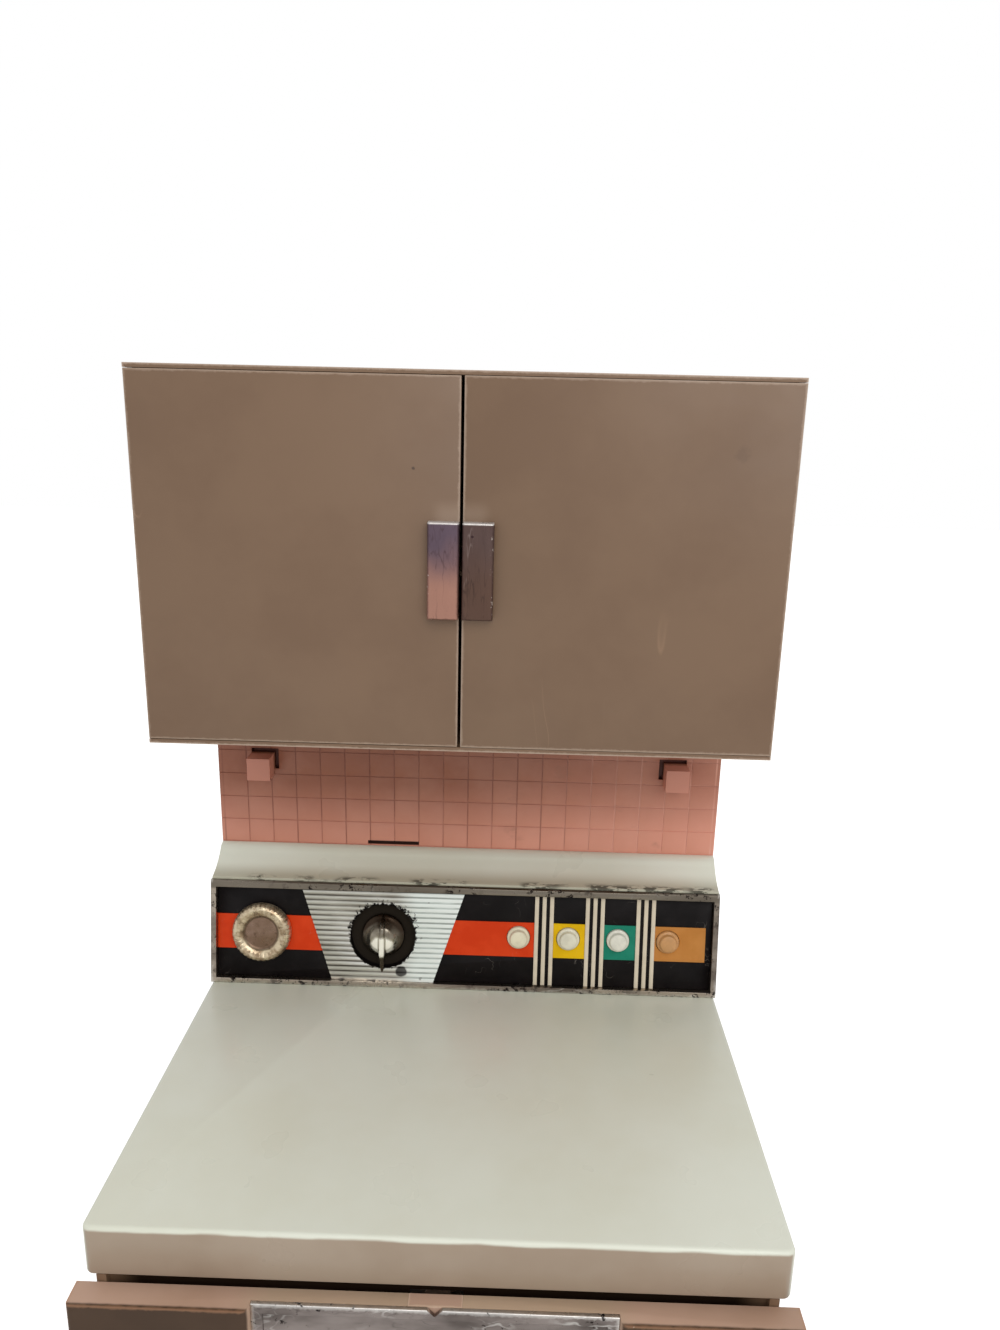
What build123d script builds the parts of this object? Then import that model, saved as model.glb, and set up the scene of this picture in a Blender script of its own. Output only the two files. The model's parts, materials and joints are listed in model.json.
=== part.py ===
from build123d import *
import math
import os

# Toy dishwasher with a wall cabinet over it, in millimetres.
# +X is right as seen from the front, -Y is the front, +Z is up.
# The origin is on the floor, at the middle of the width and of the depth.

# Clearances
gap = 0.3                   # between a moving piece and its neighbour
run = 0.05                  # round a pin or a shaft, on the radius

# Countertop
counter_width = 178.0
counter_height = 152.0      # floor to the top of the counter
counter_edge = 14.2         # height of the edge that hangs down
counter_skin = 2.5
skirt_wall = 2.2
counter_corner = 2.5

# Base cabinet
cabinet_inset = 3.0         # side wall, in from the end of the counter
cabinet_wall = 2.5
toe_depth = 10.0
kick_wall = 2.5
base_wall = 3.0
header_height = 9.5
header_wall = 2.0
back_rail = 10.0
boss_size = 9.0
boss_depth = 10.0
rail_wall = 4.0
tub_post = 4.0              # radius of the posts under the tub
tub_post_inset = 12.0
tub_post_back = 8.0
bearing_radius = 3.75

# Tile board and console
board_setback = 127.0       # counter front to the face of the tile board
board_thickness = 3.0
board_margin = 1.5          # top of the board, below the top of the wall cabinet
tile = 8.77
tile_columns = 18
groove_width = 0.35
groove_depth = 0.2
peg_size = 8.0
peg_reach = 7.0
peg_in = 16.0               # in from each end of the counter
peg_rise = 75.5             # above the counter
peg_slot = 1.6
slit_width = 18.5
slit_height = 1.5
slit_x = -26.8
slit_depth = 2.4
console_setback = 106.0     # counter front to the foot of the console face
face_height = 37.5          # up the leaning face
face_lean = 9.4             # degrees back from upright
cove_rise = 45.0            # top of the console above the counter
cove_sag = 1.3
cove_nose = 2.4
hood_thickness = 0.9
housing_wall = 2.0
hood_back = 1.0             # hood's front edge, behind the front of the bezel
nose_drop = 0.6
housing_roof = 1.5
cove_inner = 3.0

# Console face, measured along it from its middle and its foot
bezel_lip = 0.4             # past each end of the counter
bezel_side = 2.0
bezel_top = 2.5
bezel_foot = 2.0
bezel_depth = 4.2
bezel_chamfer = 0.5
panel_thickness = 1.5
band_middle = 18.35
band_height = 12.5
band_thickness = 0.3
bar_groups = 3
bars_last_in = 24.9         # last group of bars, in from the end of the counter
bars_pitch = 17.9
bar_pitch = 2.65
bar_width = 1.4
bar_height = 0.7
dial_past_timer = 42.8      # between the middles of the two knobs
dial_hole = 22.8
dial_top_width = 57.5
dial_foot_width = 36.0
dial_thickness = 0.9
rib_count = 18
rib_height = 0.45
groove_share = 0.3          # of the ribs' pitch
tan_band_in = 3.7           # in from the end of the counter

# Knobs and buttons
timer_in = 17.7             # in from the end of the counter
timer_height = 18.9
timer_diameter = 20.8
timer_reach = 4.6           # in front of the panel
timer_recess = 12.5
timer_sink = 1.6
timer_bevel = 1.6
timer_bevel_drop = 1.2
timer_notches = 36
notch_in = 1.2
notch_wide = 0.7
notch_tall = 2.4
cycle_skirt = 15.2
cycle_reach = 5.6
cycle_fin = 2.4
cycle_tail = 12.6
cycle_skirt_height = 2.0
cycle_top = 3.2
cycle_nub = 1.0             # fin, above the top of the cone
cycle_nose = 4.0            # fin's flat top, above and below the middle
cycle_heel = 6.0
cycle_tail_height = 1.2
stem_radius = 2.0
snap_radius = 2.8
snap_length = 1.2
buttons = 4
button_last_in = 16.95      # last button, in from the end of the counter
button_pitch = 17.55
button_height = 19.2
button_base = 8.0
button_cap = 6.2
button_reach = 3.2
button_travel = 1.5
button_room = 0.2
button_flange = 5.0
button_flange_length = 1.2
button_stem = 1.5
stem_past = 0.5
spring_length = 3 * button_travel
spring_radius = 2.6
spring_wire = 0.35
spring_turns = 4
carrier_wall = 1.5
carrier_height = 11.0
carrier_margin = 9.0
switch_size = 18.0
switch_depth = 6.0
switch_bore = 4.0
tab_offset = 1.6
tab_half = 1.0
tab_wall = 1.0
tab_reach = 2.5
tab_up = 2.0
cable_hole = 3.0            # through the counter, under the switch

# Wall cabinet
wall_rise = 103.9           # counter to the bottom of the wall cabinet
wall_height = 104.6
wall_setback = 66.5         # counter front to the front of the wall cabinet
wall_board = 1.2            # top and bottom boards
wall_side = 2.0
wall_back = 2.0
leaf_thickness = 3.3        # its doors
leaf_gap = 0.9              # between the two doors
leaf_rim = 4.5
leaf_skin = 1.6
leaf_reveal = 0.7           # door to side wall
leaf_play = 0.15            # over and under each door
leaf_pin = 0.8
leaf_pin_length = 6.0
shelf_wall = 1.6
shelf_ledge = 3.0
shelf_share = 0.47          # of the wall cabinet's height
ledge_height = 2.0
ledge_setback = 6.0
shelf_setback = 4.0
wall_boss = 3.2
wall_boss_length = 6.0
handle_width = 8.5
handle_length = 26.6
handle_reach = 3.5
handle_chamfer = 0.4

# Drop-down door
door_thickness = 7.0
door_overhang = 2.0         # past each end of the counter
door_top_gap = 2.3          # below the counter's edge
door_foot = 3.0             # bottom edge below the hinge
hinge_in = 4.0              # hinge behind the back of the door
hinge_height = 23.0
hinge_pin = 1.25
ear_width = 3.2
ear_radius = 3.4
plate_width = 91.5
plate_thickness = 1.2
plate_recess = 2.2
plate_foot = 26.0           # plate's lower edge, above the door's bottom edge
plate_border = 3.0
plate_step = 0.6
pocket_round = 2.0
notch_width = 3.8
notch_depth = 2.0
liner_margin = 3.0
liner_thickness = 3.0
liner_dish = 1.5
liner_rim = 5.0
door_cavity = 2.0
door_round = 1.2
liner_boss = 3.5
cup_radius = 11.0
cup_wall = 1.2
catch_width = 13.6
catch_drop = 8.0
strike_room = 1.0
strike_wall = 0.5

# Tub, rack and spray arm
tub_in = 5.5                # in from the side walls
tub_depth = 88.0
tub_wall = 2.0
tub_floor = 31.0            # underside
tub_flange = 2.0
flange_foot = 29.0
flange_rise = 6.0
runner_height = 57.0
runner_reach = 4.0
runner_wall = 2.0
rack_depth = 76.0
rack_front = 12.0           # behind the counter's front
rack_bar = 2.2
rack_height = 28.0
rack_bars_long = 9
rack_bars_cross = 5
tine_height = 17.0
tine_radius = 1.1
tine_rows = 2
arm_reach = 40.0
arm_width = 8.0
arm_height = 4.0
jets = 4                    # on each blade
jet_first = 14.0
jet_pitch = 7.2
jet_radius = 0.9
hub_radius = 6.0
hub_height = 8.0
hub_cap = 1.5
shaft_radius = 1.5
bush_radius = 4.0
bush_flange = 6.5
bush_collar = 1.5
bush_drop = 2.0
pulley_radius = 20.0
pulley_height = 6.0
pulley_foot = 15.0
belt_radius = 1.2
belt_depth = 1.6            # belt's centre inside the pulley's rim
belt_room = 0.2
motor_pulley_radius = 6.0
motor_radius = 12.0
motor_length = 30.0
motor_boss = 3.0
motor_shaft = 1.0
motor_bore = 4.0
spindle_in = 3.0
spindle_past = 1.0
bracket_wall = 2.0
bracket_half = 16.0
bracket_margin = 1.0

# Batteries
cell_radius = 13.1
cell_length = 50.0
cell_room = 0.5
nub_radius = 2.8
nub_length = 1.5
contact_room = 3.5          # beyond each end of the pair of cells
contact_wall = 0.5
contact_half = 6.0
box_wall = 1.6
box_flange = 3.0
box_middle = 80.0           # height of the cells' axis
hatch_wall = 2.4
hatch_side = 0.8            # opening, past the end of the box's room
hatch_margin = 1.0
finger_notch = 6.0
hatch_pin = 0.8
hatch_pin_length = 2.0

# Louvres in the back cover
louvres = 5
louvre_pitch = 6.0
louvre_half = 18.0
louvre_height = 2.0

# Screws
screw_radius = 1.2
screw_head = 2.5
screw_head_height = 1.4
screw_length = 8.0
slot_depth = 0.4
slot_width = 0.6
wall_screws_in = 1.3
wall_screws_share = 0.2
liner_screw_length = 5.0
wire_radius = 0.7
wire_bend = 3.0
motor_tab = 5.0
lead_out = 13.0             # leads beside the battery box, past its end

# Worked out from the sizes above
depth = door_thickness + board_setback + board_thickness
front = door_thickness - depth / 2          # the counter's front edge
board_y = front + board_setback
back_y = board_y + board_thickness
half_counter = counter_width / 2
half_body = half_counter - cabinet_inset
half_inside = half_body - cabinet_wall
cabinet_top = counter_height - counter_skin
counter_under = counter_height - counter_edge
header_top = counter_under - gap
header_bottom = header_top - header_height
header_front = front + skirt_wall           # below the counter's skirt
header_back = header_front + gap + header_wall
nib_reach = skirt_wall - gap
lug_radius = hinge_in - gap
hinge_y = front + hinge_in
toe_height = hinge_height - lug_radius
door_half = half_counter + door_overhang
door_bottom = hinge_height - door_foot
door_top = counter_under - door_top_gap
tub_half = half_inside - tub_in
tub_back = header_back + tub_depth
tub_top = header_bottom + tub_wall
tub_inner = tub_half - tub_wall
arm_y = (header_back + tub_back) / 2
back_room_y = (tub_back + board_y) / 2      # middle of the space behind the tub
cover_top = counter_under + gap
lean = math.radians(face_lean)
panel_back = -bezel_depth
panel_front = panel_back + panel_thickness
wall_inner = -bezel_depth - housing_wall
behind_panel = wall_inner - housing_wall
wall_bottom = counter_height + wall_rise
wall_top = wall_bottom + wall_height
wall_front = front + wall_setback
leaf_back = wall_front + leaf_thickness
leaf_bottom = wall_bottom + wall_board + leaf_play
leaf_top = wall_top - wall_board - leaf_play
leaf_axis_x = half_counter - leaf_thickness / 2
leaf_axis_y = wall_front + leaf_thickness / 2
peg_x = half_counter - peg_in
timer_x = timer_in - half_counter
dial_x = timer_x + dial_past_timer
button_first = half_counter - button_last_in - (buttons - 1) * button_pitch
bars_first = half_counter - bars_last_in - (bar_groups - 1) * bars_pitch
tan_band_end = half_counter - tan_band_in
belt_z = pulley_foot + pulley_height / 2
big_belt = pulley_radius - belt_depth
small_belt = motor_pulley_radius - belt_depth
cell_half = cell_length + contact_room
box_room = cell_radius + cell_room
box_y = board_y - box_room
motor_foot = pulley_foot + pulley_height + 3 * gap
screw_seat = back_y - screw_head_height - gap
catch_depth = door_thickness - plate_recess - plate_thickness
hub_foot = tub_floor + tub_wall + bush_collar + gap
sweep_front = panel_front + dial_thickness + rib_height + 2 * gap   # clears the dial plate's ribs
console = Plane(
    origin=(0, front + console_setback, counter_height),
    x_dir=(1, 0, 0),
    z_dir=(0, -math.cos(lean), math.sin(lean)),
)


def block(x0, x1, y0, y1, z0, z1):
    """A box between two corners."""
    size = Box(x1 - x0, y1 - y0, z1 - z0)
    return Pos((x0 + x1) / 2, (y0 + y1) / 2, (z0 + z1) / 2) * size


def post(x, y, z0, z1, radius):
    """An upright round bar."""
    return Pos(x, y, (z0 + z1) / 2) * Cylinder(radius, z1 - z0)


def bar_x(x0, x1, y, z, radius):
    """A round bar that lies along X."""
    return Pos((x0 + x1) / 2, y, z) * Rot(0, 90, 0) * Cylinder(radius, x1 - x0)


def bar_y(x, y0, y1, z, radius):
    """A round bar that lies along Y."""
    return Pos(x, (y0 + y1) / 2, z) * Rot(90, 0, 0) * Cylinder(radius, y1 - y0)


def plate_x(outline, x0, x1):
    """A plate between x0 and x1, with its outline given as Y and Z."""
    face = make_face(Polyline(*outline, close=True))
    return extrude(Plane.YZ.offset(x0) * face, x1 - x0)


def on_face(x, height, out0, out1, radius):
    """A round bar square to the console's face, between two distances in front of it."""
    return console * Pos(x, height, (out0 + out1) / 2) * Cylinder(radius, out1 - out0)


def face_block(x0, x1, h0, h1, out0, out1):
    """A box square to the console's face."""
    size = Box(x1 - x0, h1 - h0, out1 - out0)
    return console * Pos((x0 + x1) / 2, (h0 + h1) / 2, (out0 + out1) / 2) * size


def face_point(height, out):
    """Y and Z of a point on the console's section."""
    y = front + console_setback + height * math.sin(lean) - out * math.cos(lean)
    z = counter_height + height * math.cos(lean) + out * math.sin(lean)
    return y, z


def both_sides(shape):
    """The shape and its mirror image in the middle plane."""
    return shape + mirror(shape, Plane.YZ)


def above_counter(shape):
    """Cut off what would reach into the countertop."""
    low = counter_height - face_height
    return shape - block(-counter_width, counter_width, front, back_y, low, counter_height)


def button_places():
    """Middles of the four buttons along the console."""
    return [button_first + n * button_pitch for n in range(buttons)]


def cover_screw_places():
    """X and Z of the four screws that hold the back cover."""
    x = half_inside - boss_size / 2
    return [(s * x, z) for s in (-1, 1) for z in (base_wall + boss_size / 2, header_bottom)]


def board_screw_places():
    """X and Z of the screws that hold the tile board and the wall cabinet."""
    low = [(s * half_inside / 2, cabinet_top - back_rail / 2) for s in (-1, 1)]
    inset = wall_height * wall_screws_share
    rows = (wall_bottom + inset, wall_top - inset)
    high = [(s * half_inside / wall_screws_in, z) for s in (-1, 1) for z in rows]
    return low + high


def liner_screw_places():
    """X and Z of the screws that hold the door liner."""
    x = tub_inner - liner_margin - 2 * liner_rim
    low = tub_floor + tub_wall + liner_margin + 2 * liner_rim
    high = header_bottom - liner_margin - 2 * liner_rim
    return [(s * x, z) for s in (-1, 1) for z in (low, high)]


def screws(places, seat_y, length):
    """Slotted screws with their heads' undersides at seat_y and their shanks towards the front."""
    made = []
    for x, z in places:
        top = seat_y + screw_head_height
        head = bar_y(x, seat_y, top, z, screw_head)
        shank = bar_y(x, seat_y - length, seat_y, z, screw_radius)
        half = slot_width / 2
        slot = block(x - screw_head, x + screw_head, top - slot_depth, top, z - half, z + half)
        made.append(head + shank - slot)
    return made


def base_cabinet():
    """Two side walls, the header over the tub, the back rail and the screw bosses."""
    top_front = header_front + gap
    outline = [
        (front + toe_depth, 0),
        (board_y, 0),
        (board_y, cabinet_top),
        (top_front, cabinet_top),
        (top_front, header_top),
        (front + gap, header_top),
        (front + gap, hinge_height),
        (hinge_y, hinge_height),
        (hinge_y, toe_height),
        (front + toe_depth, toe_height),
    ]
    wall = plate_x(outline, half_inside, half_body)
    wall += bar_x(half_inside, half_body, hinge_y, hinge_height, lug_radius)
    wall -= bar_x(half_inside, half_body, hinge_y, hinge_height, hinge_pin)
    for x, z in cover_screw_places():
        if x > 0:
            low = z - boss_size / 2
            wall += block(x - boss_size / 2, half_inside, board_y - boss_depth, board_y, low, low + boss_size)
    shell = both_sides(wall)
    shell += block(-half_inside, half_inside, header_front, header_back, header_bottom, header_top)
    shell += block(-half_inside, half_inside, top_front, header_back, header_top, cabinet_top)
    shell += block(-half_inside, half_inside, board_y - rail_wall, board_y, cabinet_top - back_rail, cabinet_top)
    strike = catch_width / 2
    shell -= block(-strike, strike, header_front, header_front + strike_wall, *strike_span())
    for x, z in cover_screw_places():
        shell -= bar_y(x, board_y - boss_size, board_y, z, screw_radius + run)
    for x, z in board_screw_places()[:2]:
        shell -= bar_y(x, board_y - boss_size, board_y, z, screw_radius + run)
    return shell


def strike_span():
    """Lowest and highest Z of the strike that the door's catch meets."""
    middle = door_top - catch_drop / 2
    half = nib_reach + strike_room
    return middle - half, middle + half


def catch_strike():
    """Thin plate let into the header's front."""
    half = catch_width / 2
    return block(-half, half, header_front, header_front + strike_wall, *strike_span())


def base_plate():
    """Floor of the cabinet, with posts that carry the tub and a foot bearing for the shaft."""
    start = front + toe_depth + kick_wall
    plate = block(-half_inside, half_inside, start, board_y, 0, base_wall)
    for x in (-tub_half + tub_post_inset, tub_half - tub_post_inset):
        for y in (start + tub_post_inset, tub_back - tub_post_back):
            plate += post(x, y, base_wall, tub_floor, tub_post)
    plate += post(0, arm_y, base_wall, pulley_foot - 3 * gap, bearing_radius)
    plate -= post(0, arm_y, base_wall + gap, pulley_foot, shaft_radius + run)
    return plate


def kick_plate():
    """Recessed strip under the door."""
    start = front + toe_depth
    top = toe_height + lug_radius - ear_radius
    return block(-half_inside, half_inside, start, start + kick_wall, 0, top)


def tub():
    """Open-fronted liner with a flange behind the header."""
    shell = block(-tub_half, tub_half, header_back, tub_back, tub_floor, tub_top)
    shell += block(-half_inside, half_inside, header_back, header_back + tub_flange, flange_foot, tub_top + flange_rise)
    shell -= block(-tub_inner, tub_inner, header_back, tub_back - tub_wall, tub_floor + tub_wall, header_bottom)
    shell -= post(0, arm_y, tub_floor, tub_floor + tub_wall, bush_radius)
    return shell


def rack_runners():
    """Ledges on the tub's side walls."""
    low = header_back + tub_flange
    ledge = block(tub_inner - runner_reach, tub_inner, low, tub_back - tub_wall,
                  runner_height, runner_height + runner_wall)
    return both_sides(ledge)


def dish_rack():
    """Moulded basket: a grid floor, two rows of tines and a rim on posts."""
    floor = runner_height + runner_wall + gap
    half = tub_inner - runner_reach - 2 * gap
    y0 = front + rack_front
    y1 = y0 + rack_depth
    base = floor + rack_bar
    rim = floor + rack_height
    rows = [y0 + (n + 1) * rack_depth / (tine_rows + 1) for n in range(tine_rows)]
    ring = block(-half, half, y0, y1, floor, base)
    ring -= block(-half + rack_bar, half - rack_bar, y0 + rack_bar, y1 - rack_bar, floor, base)
    rack = ring + Pos(0, 0, rack_height - rack_bar) * ring
    rack += both_sides(block(half - rack_bar, tub_inner - 2 * gap, y0, y1, floor, base))
    for n in range(rack_bars_long):
        x = -half + (n + 1) * 2 * half / (rack_bars_long + 1)
        rack += block(x - rack_bar / 2, x + rack_bar / 2, y0, y1, floor, base)
        for y in rows:
            rack += post(x, y, floor, base + tine_height, tine_radius)
    for n in range(rack_bars_cross):
        y = y0 + (n + 1) * rack_depth / (rack_bars_cross + 1)
        rack += block(-half, half, y - rack_bar / 2, y + rack_bar / 2, floor, base)
    for x in (-half, -half / 3, half / 3 - rack_bar, half - rack_bar):
        for y in (y0, y1 - rack_bar):
            rack += block(x, x + rack_bar, y, y + rack_bar, floor, rim)
    for y in rows:
        rack += both_sides(block(half - rack_bar, half, y, y + rack_bar, floor, rim))
    return rack


def arm_bush():
    """Flanged bush in the tub's floor."""
    floor = tub_floor + tub_wall
    bush = post(0, arm_y, tub_floor - bush_drop, floor, bush_radius)
    bush += post(0, arm_y, floor, floor + bush_collar, bush_flange)
    return bush - post(0, arm_y, tub_floor - bush_drop, floor + bush_collar, shaft_radius + run)


def spray_arm():
    """Two hollow-looking blades on a hub, with jets along their tops."""
    foot = hub_foot
    low = foot + (hub_height - arm_height) / 2
    blade = Pos(0, arm_y, low) * extrude(SlotOverall(2 * arm_reach, arm_width), arm_height)
    arm = blade + post(0, arm_y, foot, foot + hub_height, hub_radius)
    for n in range(jets):
        x = jet_first + n * jet_pitch
        arm -= both_sides(post(x, arm_y, low + arm_height / 2, low + arm_height, jet_radius))
    return arm - post(0, arm_y, foot, foot + hub_height - hub_cap, shaft_radius)


def arm_shaft():
    """Upright shaft from the foot bearing to the hub."""
    return post(0, arm_y, base_wall + gap, hub_foot + hub_height - hub_cap, shaft_radius)


def pulley(x, y, radius, bore):
    """Grooved wheel at the height of the belt."""
    top = pulley_foot + pulley_height
    wheel = post(x, y, pulley_foot, top, radius)
    waist = radius - belt_depth - belt_radius - belt_room
    half = belt_radius + 2 * gap
    groove = post(x, y, belt_z - half, belt_z + half, radius)
    groove -= post(x, y, belt_z - half, belt_z + half, waist)
    return wheel - groove - post(x, y, pulley_foot, top, bore)


def drive_belt():
    """Round rubber belt about the two pulleys."""
    distance = back_room_y - arm_y
    turn = math.asin((big_belt - small_belt) / distance)
    c, s = math.cos(turn), math.sin(turn)
    big = [(k * big_belt * c, arm_y + big_belt * s) for k in (1, -1)]
    small = [(k * small_belt * c, back_room_y + small_belt * s) for k in (1, -1)]
    right = Line(big[0], small[0])
    far = ThreePointArc(small[0], (0, back_room_y + small_belt), small[1])
    left = Line(small[1], big[1])
    near = ThreePointArc(big[1], (0, arm_y - big_belt), big[0])
    path = Pos(0, 0, belt_z) * Wire([right, far, left, near])
    start = path @ 0
    section = Plane(origin=start, z_dir=path % 0) * Circle(belt_radius)
    return sweep(section, path)


def motor_case():
    """Can of the motor, with the boss that its shaft leaves by."""
    low = motor_foot + bracket_wall
    can = post(0, back_room_y, low, low + motor_length, motor_radius)
    can += post(0, back_room_y, motor_foot, low, motor_boss)
    return can - post(0, back_room_y, motor_foot, low + motor_bore, motor_shaft + run)


def motor_spindle():
    """Shaft that hangs down out of the motor."""
    low = motor_foot + bracket_wall
    return post(0, back_room_y, pulley_foot - spindle_past, low + spindle_in, motor_shaft)


def motor_bracket():
    """Small table that the motor stands on."""
    y0 = back_room_y - motor_radius - bracket_margin
    y1 = back_room_y + motor_radius + bracket_margin
    top = motor_foot + bracket_wall
    table = block(-bracket_half, bracket_half, y0, y1, motor_foot, top)
    table += both_sides(block(bracket_half - bracket_wall, bracket_half, y0, y1, base_wall, top))
    return table - post(0, back_room_y, motor_foot, top, motor_boss + run)


def battery_box():
    """Tray for two cells in line, open to the back, with a flange on the cover."""
    x = cell_half
    low, high = box_middle - box_room, box_middle + box_room
    y0 = box_y - box_room
    tray = block(-x - box_wall, x + box_wall, y0 - box_wall, board_y, low - box_wall, high + box_wall)
    x_out = x + box_wall + box_flange
    z_out = box_room + box_wall + box_flange
    tray += block(-x_out, x_out, board_y - box_wall, board_y, box_middle - z_out, box_middle + z_out)
    tray -= block(-x, x, y0, board_y, low, high)
    return tray


def battery_cells():
    """Two round cells, end to end."""
    made = []
    for x0 in (-cell_length, 0):
        body = bar_x(x0, x0 + cell_length - nub_length, box_y, box_middle, cell_radius)
        nub = bar_x(x0 + cell_length - nub_length, x0 + cell_length, box_y, box_middle, nub_radius)
        made.append(body + nub)
    return made


def battery_contacts():
    """A plate with a dimple at each end of the cells."""
    made = []
    for side in (-1, 1):
        outer = side * cell_half
        inner = side * (cell_half - contact_wall)
        tip = side * (cell_length + run)
        half = contact_half
        plate = block(min(outer, inner), max(outer, inner), box_y - half, box_y + half,
                      box_middle - half, box_middle + half)
        plate += bar_x(min(inner, tip), max(inner, tip), box_y, box_middle, nub_radius)
        made.append(plate)
    return made


def hatch_span():
    """Half width, lowest and highest Z of the battery hatch's opening in the cover."""
    tall = box_room + box_wall + hatch_margin
    return cell_half + hatch_side, box_middle - tall, box_middle + tall


def hatch_axis():
    """Y and Z of the battery hatch's hinge."""
    low = hatch_span()[1]
    return back_y - hatch_wall / 2, low + gap + hatch_wall / 2


def back_cover():
    """Flat cover with the hatch's opening, louvres and countersunk screw seats."""
    cover = block(-half_body, half_body, board_y, back_y, 0, cover_top)
    x, low, high = hatch_span()
    cover -= block(-x, x, board_y, back_y, low, high)
    y, z = hatch_axis()
    cover -= bar_x(-x - hatch_pin_length - gap, x + hatch_pin_length + gap, y, z, hatch_pin + run)
    for n in range(louvres):
        low = base_wall + boss_size + (n + 1) * louvre_pitch
        cover -= block(-louvre_half, louvre_half, board_y, back_y, low, low + louvre_height)
    for px, pz in cover_screw_places():
        cover -= bar_y(px, screw_seat, back_y, pz, screw_head + gap)
        cover -= bar_y(px, board_y, back_y, pz, screw_radius + run)
    return cover


def battery_hatch():
    """Lid of the battery box, hinged along its lower edge, with a finger notch at the top."""
    x, low, high = hatch_span()
    y, z = hatch_axis()
    lid = block(-x + gap, x - gap, back_y - hatch_wall, back_y, z, high - gap)
    lid += bar_x(-x + gap, x - gap, y, z, hatch_wall / 2)
    lid += bar_x(-x - hatch_pin_length + gap, x + hatch_pin_length - gap, y, z, hatch_pin)
    return lid - bar_y(0, back_y - hatch_wall / 2, back_y, high - gap, finger_notch)


def countertop():
    """Moulded top with a skirt at the front and the sides, open at the back."""
    slab = block(-half_counter, half_counter, front, board_y, counter_under, counter_height)
    corners = slab.edges().filter_by(Axis.Z).group_by(Axis.Y)[0]
    slab = fillet(corners, counter_corner)
    rim = slab.faces().sort_by(Axis.Z)[-1].edges()
    rim = [e for e in rim if e.center().Y < board_y - 1]
    slab = fillet(rim, counter_skin / 2)
    inner = half_counter - skirt_wall
    slab -= block(-inner, inner, front + skirt_wall, board_y, counter_under, cabinet_top)
    hole_y = switch_tab_foot()[0]
    return slab - post(dial_x, hole_y, cabinet_top, counter_height, cable_hole)


def console_housing():
    """White shell behind the console's face, with the cove up to the tiles."""
    foot = bezel_depth * math.tan(lean)
    hood_front = face_point(face_height + hood_thickness, -hood_back)
    top = (board_y, counter_height + cove_rise)
    nose = (board_y - cove_nose, counter_height + cove_rise - nose_drop)
    middle = ((hood_front[0] + nose[0]) / 2, (hood_front[1] + nose[1]) / 2 - cove_sag)
    outline = Polyline(
        hood_front,
        face_point(face_height, -hood_back),
        face_point(face_height, -bezel_depth),
        face_point(foot, -bezel_depth),
        (board_y, counter_height),
        top,
        nose,
    )
    cove = ThreePointArc(nose, middle, hood_front)
    section = make_face(Curve([outline, cove]))
    shell = extrude(Plane.YZ.offset(-half_counter) * section, counter_width)
    inner_foot = (bezel_depth + housing_wall) * math.tan(lean)
    inner_top = counter_height + cove_rise - cove_inner - cove_sag
    inside = [
        face_point(inner_foot, wall_inner),
        face_point(face_height - housing_roof, wall_inner),
        (board_y - cove_nose, inner_top),
        (board_y, inner_top),
        (board_y, counter_height),
    ]
    shell -= plate_x(inside, -half_counter + housing_wall, half_counter - housing_wall)
    shell -= on_face(timer_x, timer_height, behind_panel, 0, stem_radius + run)
    shell -= on_face(dial_x, band_middle, behind_panel, 0, stem_radius + run)
    for x in button_places():
        shell -= on_face(x, button_height, behind_panel, 0, button_base / 2 + button_room)
    return shell


def console_bezel():
    """Bright frame round the console's face."""
    half = half_counter + bezel_lip
    frame = Pos(0, face_height / 2, -bezel_depth / 2) * Box(2 * half, face_height, bezel_depth)
    frame = chamfer(frame.faces().sort_by(Axis.Z)[-1].edges(), bezel_chamfer)
    low, high = bezel_foot, face_height - bezel_top
    frame -= Pos(0, (low + high) / 2, -bezel_depth / 2) * Box(2 * (half - bezel_side), high - low, bezel_depth)
    return above_counter(console * frame)


def face_holes(clear):
    """Bars that cut the holes for the knobs and buttons in what lies on the face."""
    holes = on_face(timer_x, timer_height, panel_back, 0, stem_radius + clear)
    holes += on_face(dial_x, band_middle, panel_back, 0, dial_hole / 2)
    for x in button_places():
        holes += on_face(x, button_height, panel_back, 0, button_base / 2 + button_room)
    return holes


def panel_half():
    """Half width of the panel inside the bezel."""
    return half_counter + bezel_lip - bezel_side - run


def console_panel():
    """Black panel inside the frame."""
    half = panel_half()
    high = face_height - bezel_top - run
    panel = face_block(-half, half, bezel_foot + run, high, panel_back, panel_front)
    return panel - face_holes(run)


def dial_edge(height, side):
    """X of the dial plate's slanted edge at a height on the face."""
    low, high = bezel_foot + run, face_height - bezel_top - run
    share = (height - low) / (high - low)
    return dial_x + side * (dial_foot_width + share * (dial_top_width - dial_foot_width)) / 2


def colour_band(left, right):
    """A thin strip between two distances along the face, with the holes cut in it."""
    low = band_middle - band_height / 2
    high = band_middle + band_height / 2
    corners = [(left(low), low), (right(low), low), (right(high), high), (left(high), high)]
    strip = extrude(make_face(Polyline(*corners, close=True)), band_thickness)
    return console * Pos(0, 0, panel_front) * strip - face_holes(run)


def bar_edge(group, side):
    """X of the outer edge of one group of three divider bars."""
    return bars_first + group * bars_pitch + side * (bar_pitch + bar_width / 2)


def orange_band():
    """The strips from the left end to the dial plate and from there to the first bars."""
    left = colour_band(lambda h: -panel_half(), lambda h: dial_edge(h, -1) - run)
    right = colour_band(lambda h: dial_edge(h, 1) + run, lambda h: bar_edge(0, -1) - run)
    return [left, right]


def yellow_band():
    """Strip between the first and second groups of bars."""
    return colour_band(lambda h: bar_edge(0, 1) + run, lambda h: bar_edge(1, -1) - run)


def teal_band():
    """Strip between the second and third groups of bars."""
    return colour_band(lambda h: bar_edge(1, 1) + run, lambda h: bar_edge(2, -1) - run)


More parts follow.
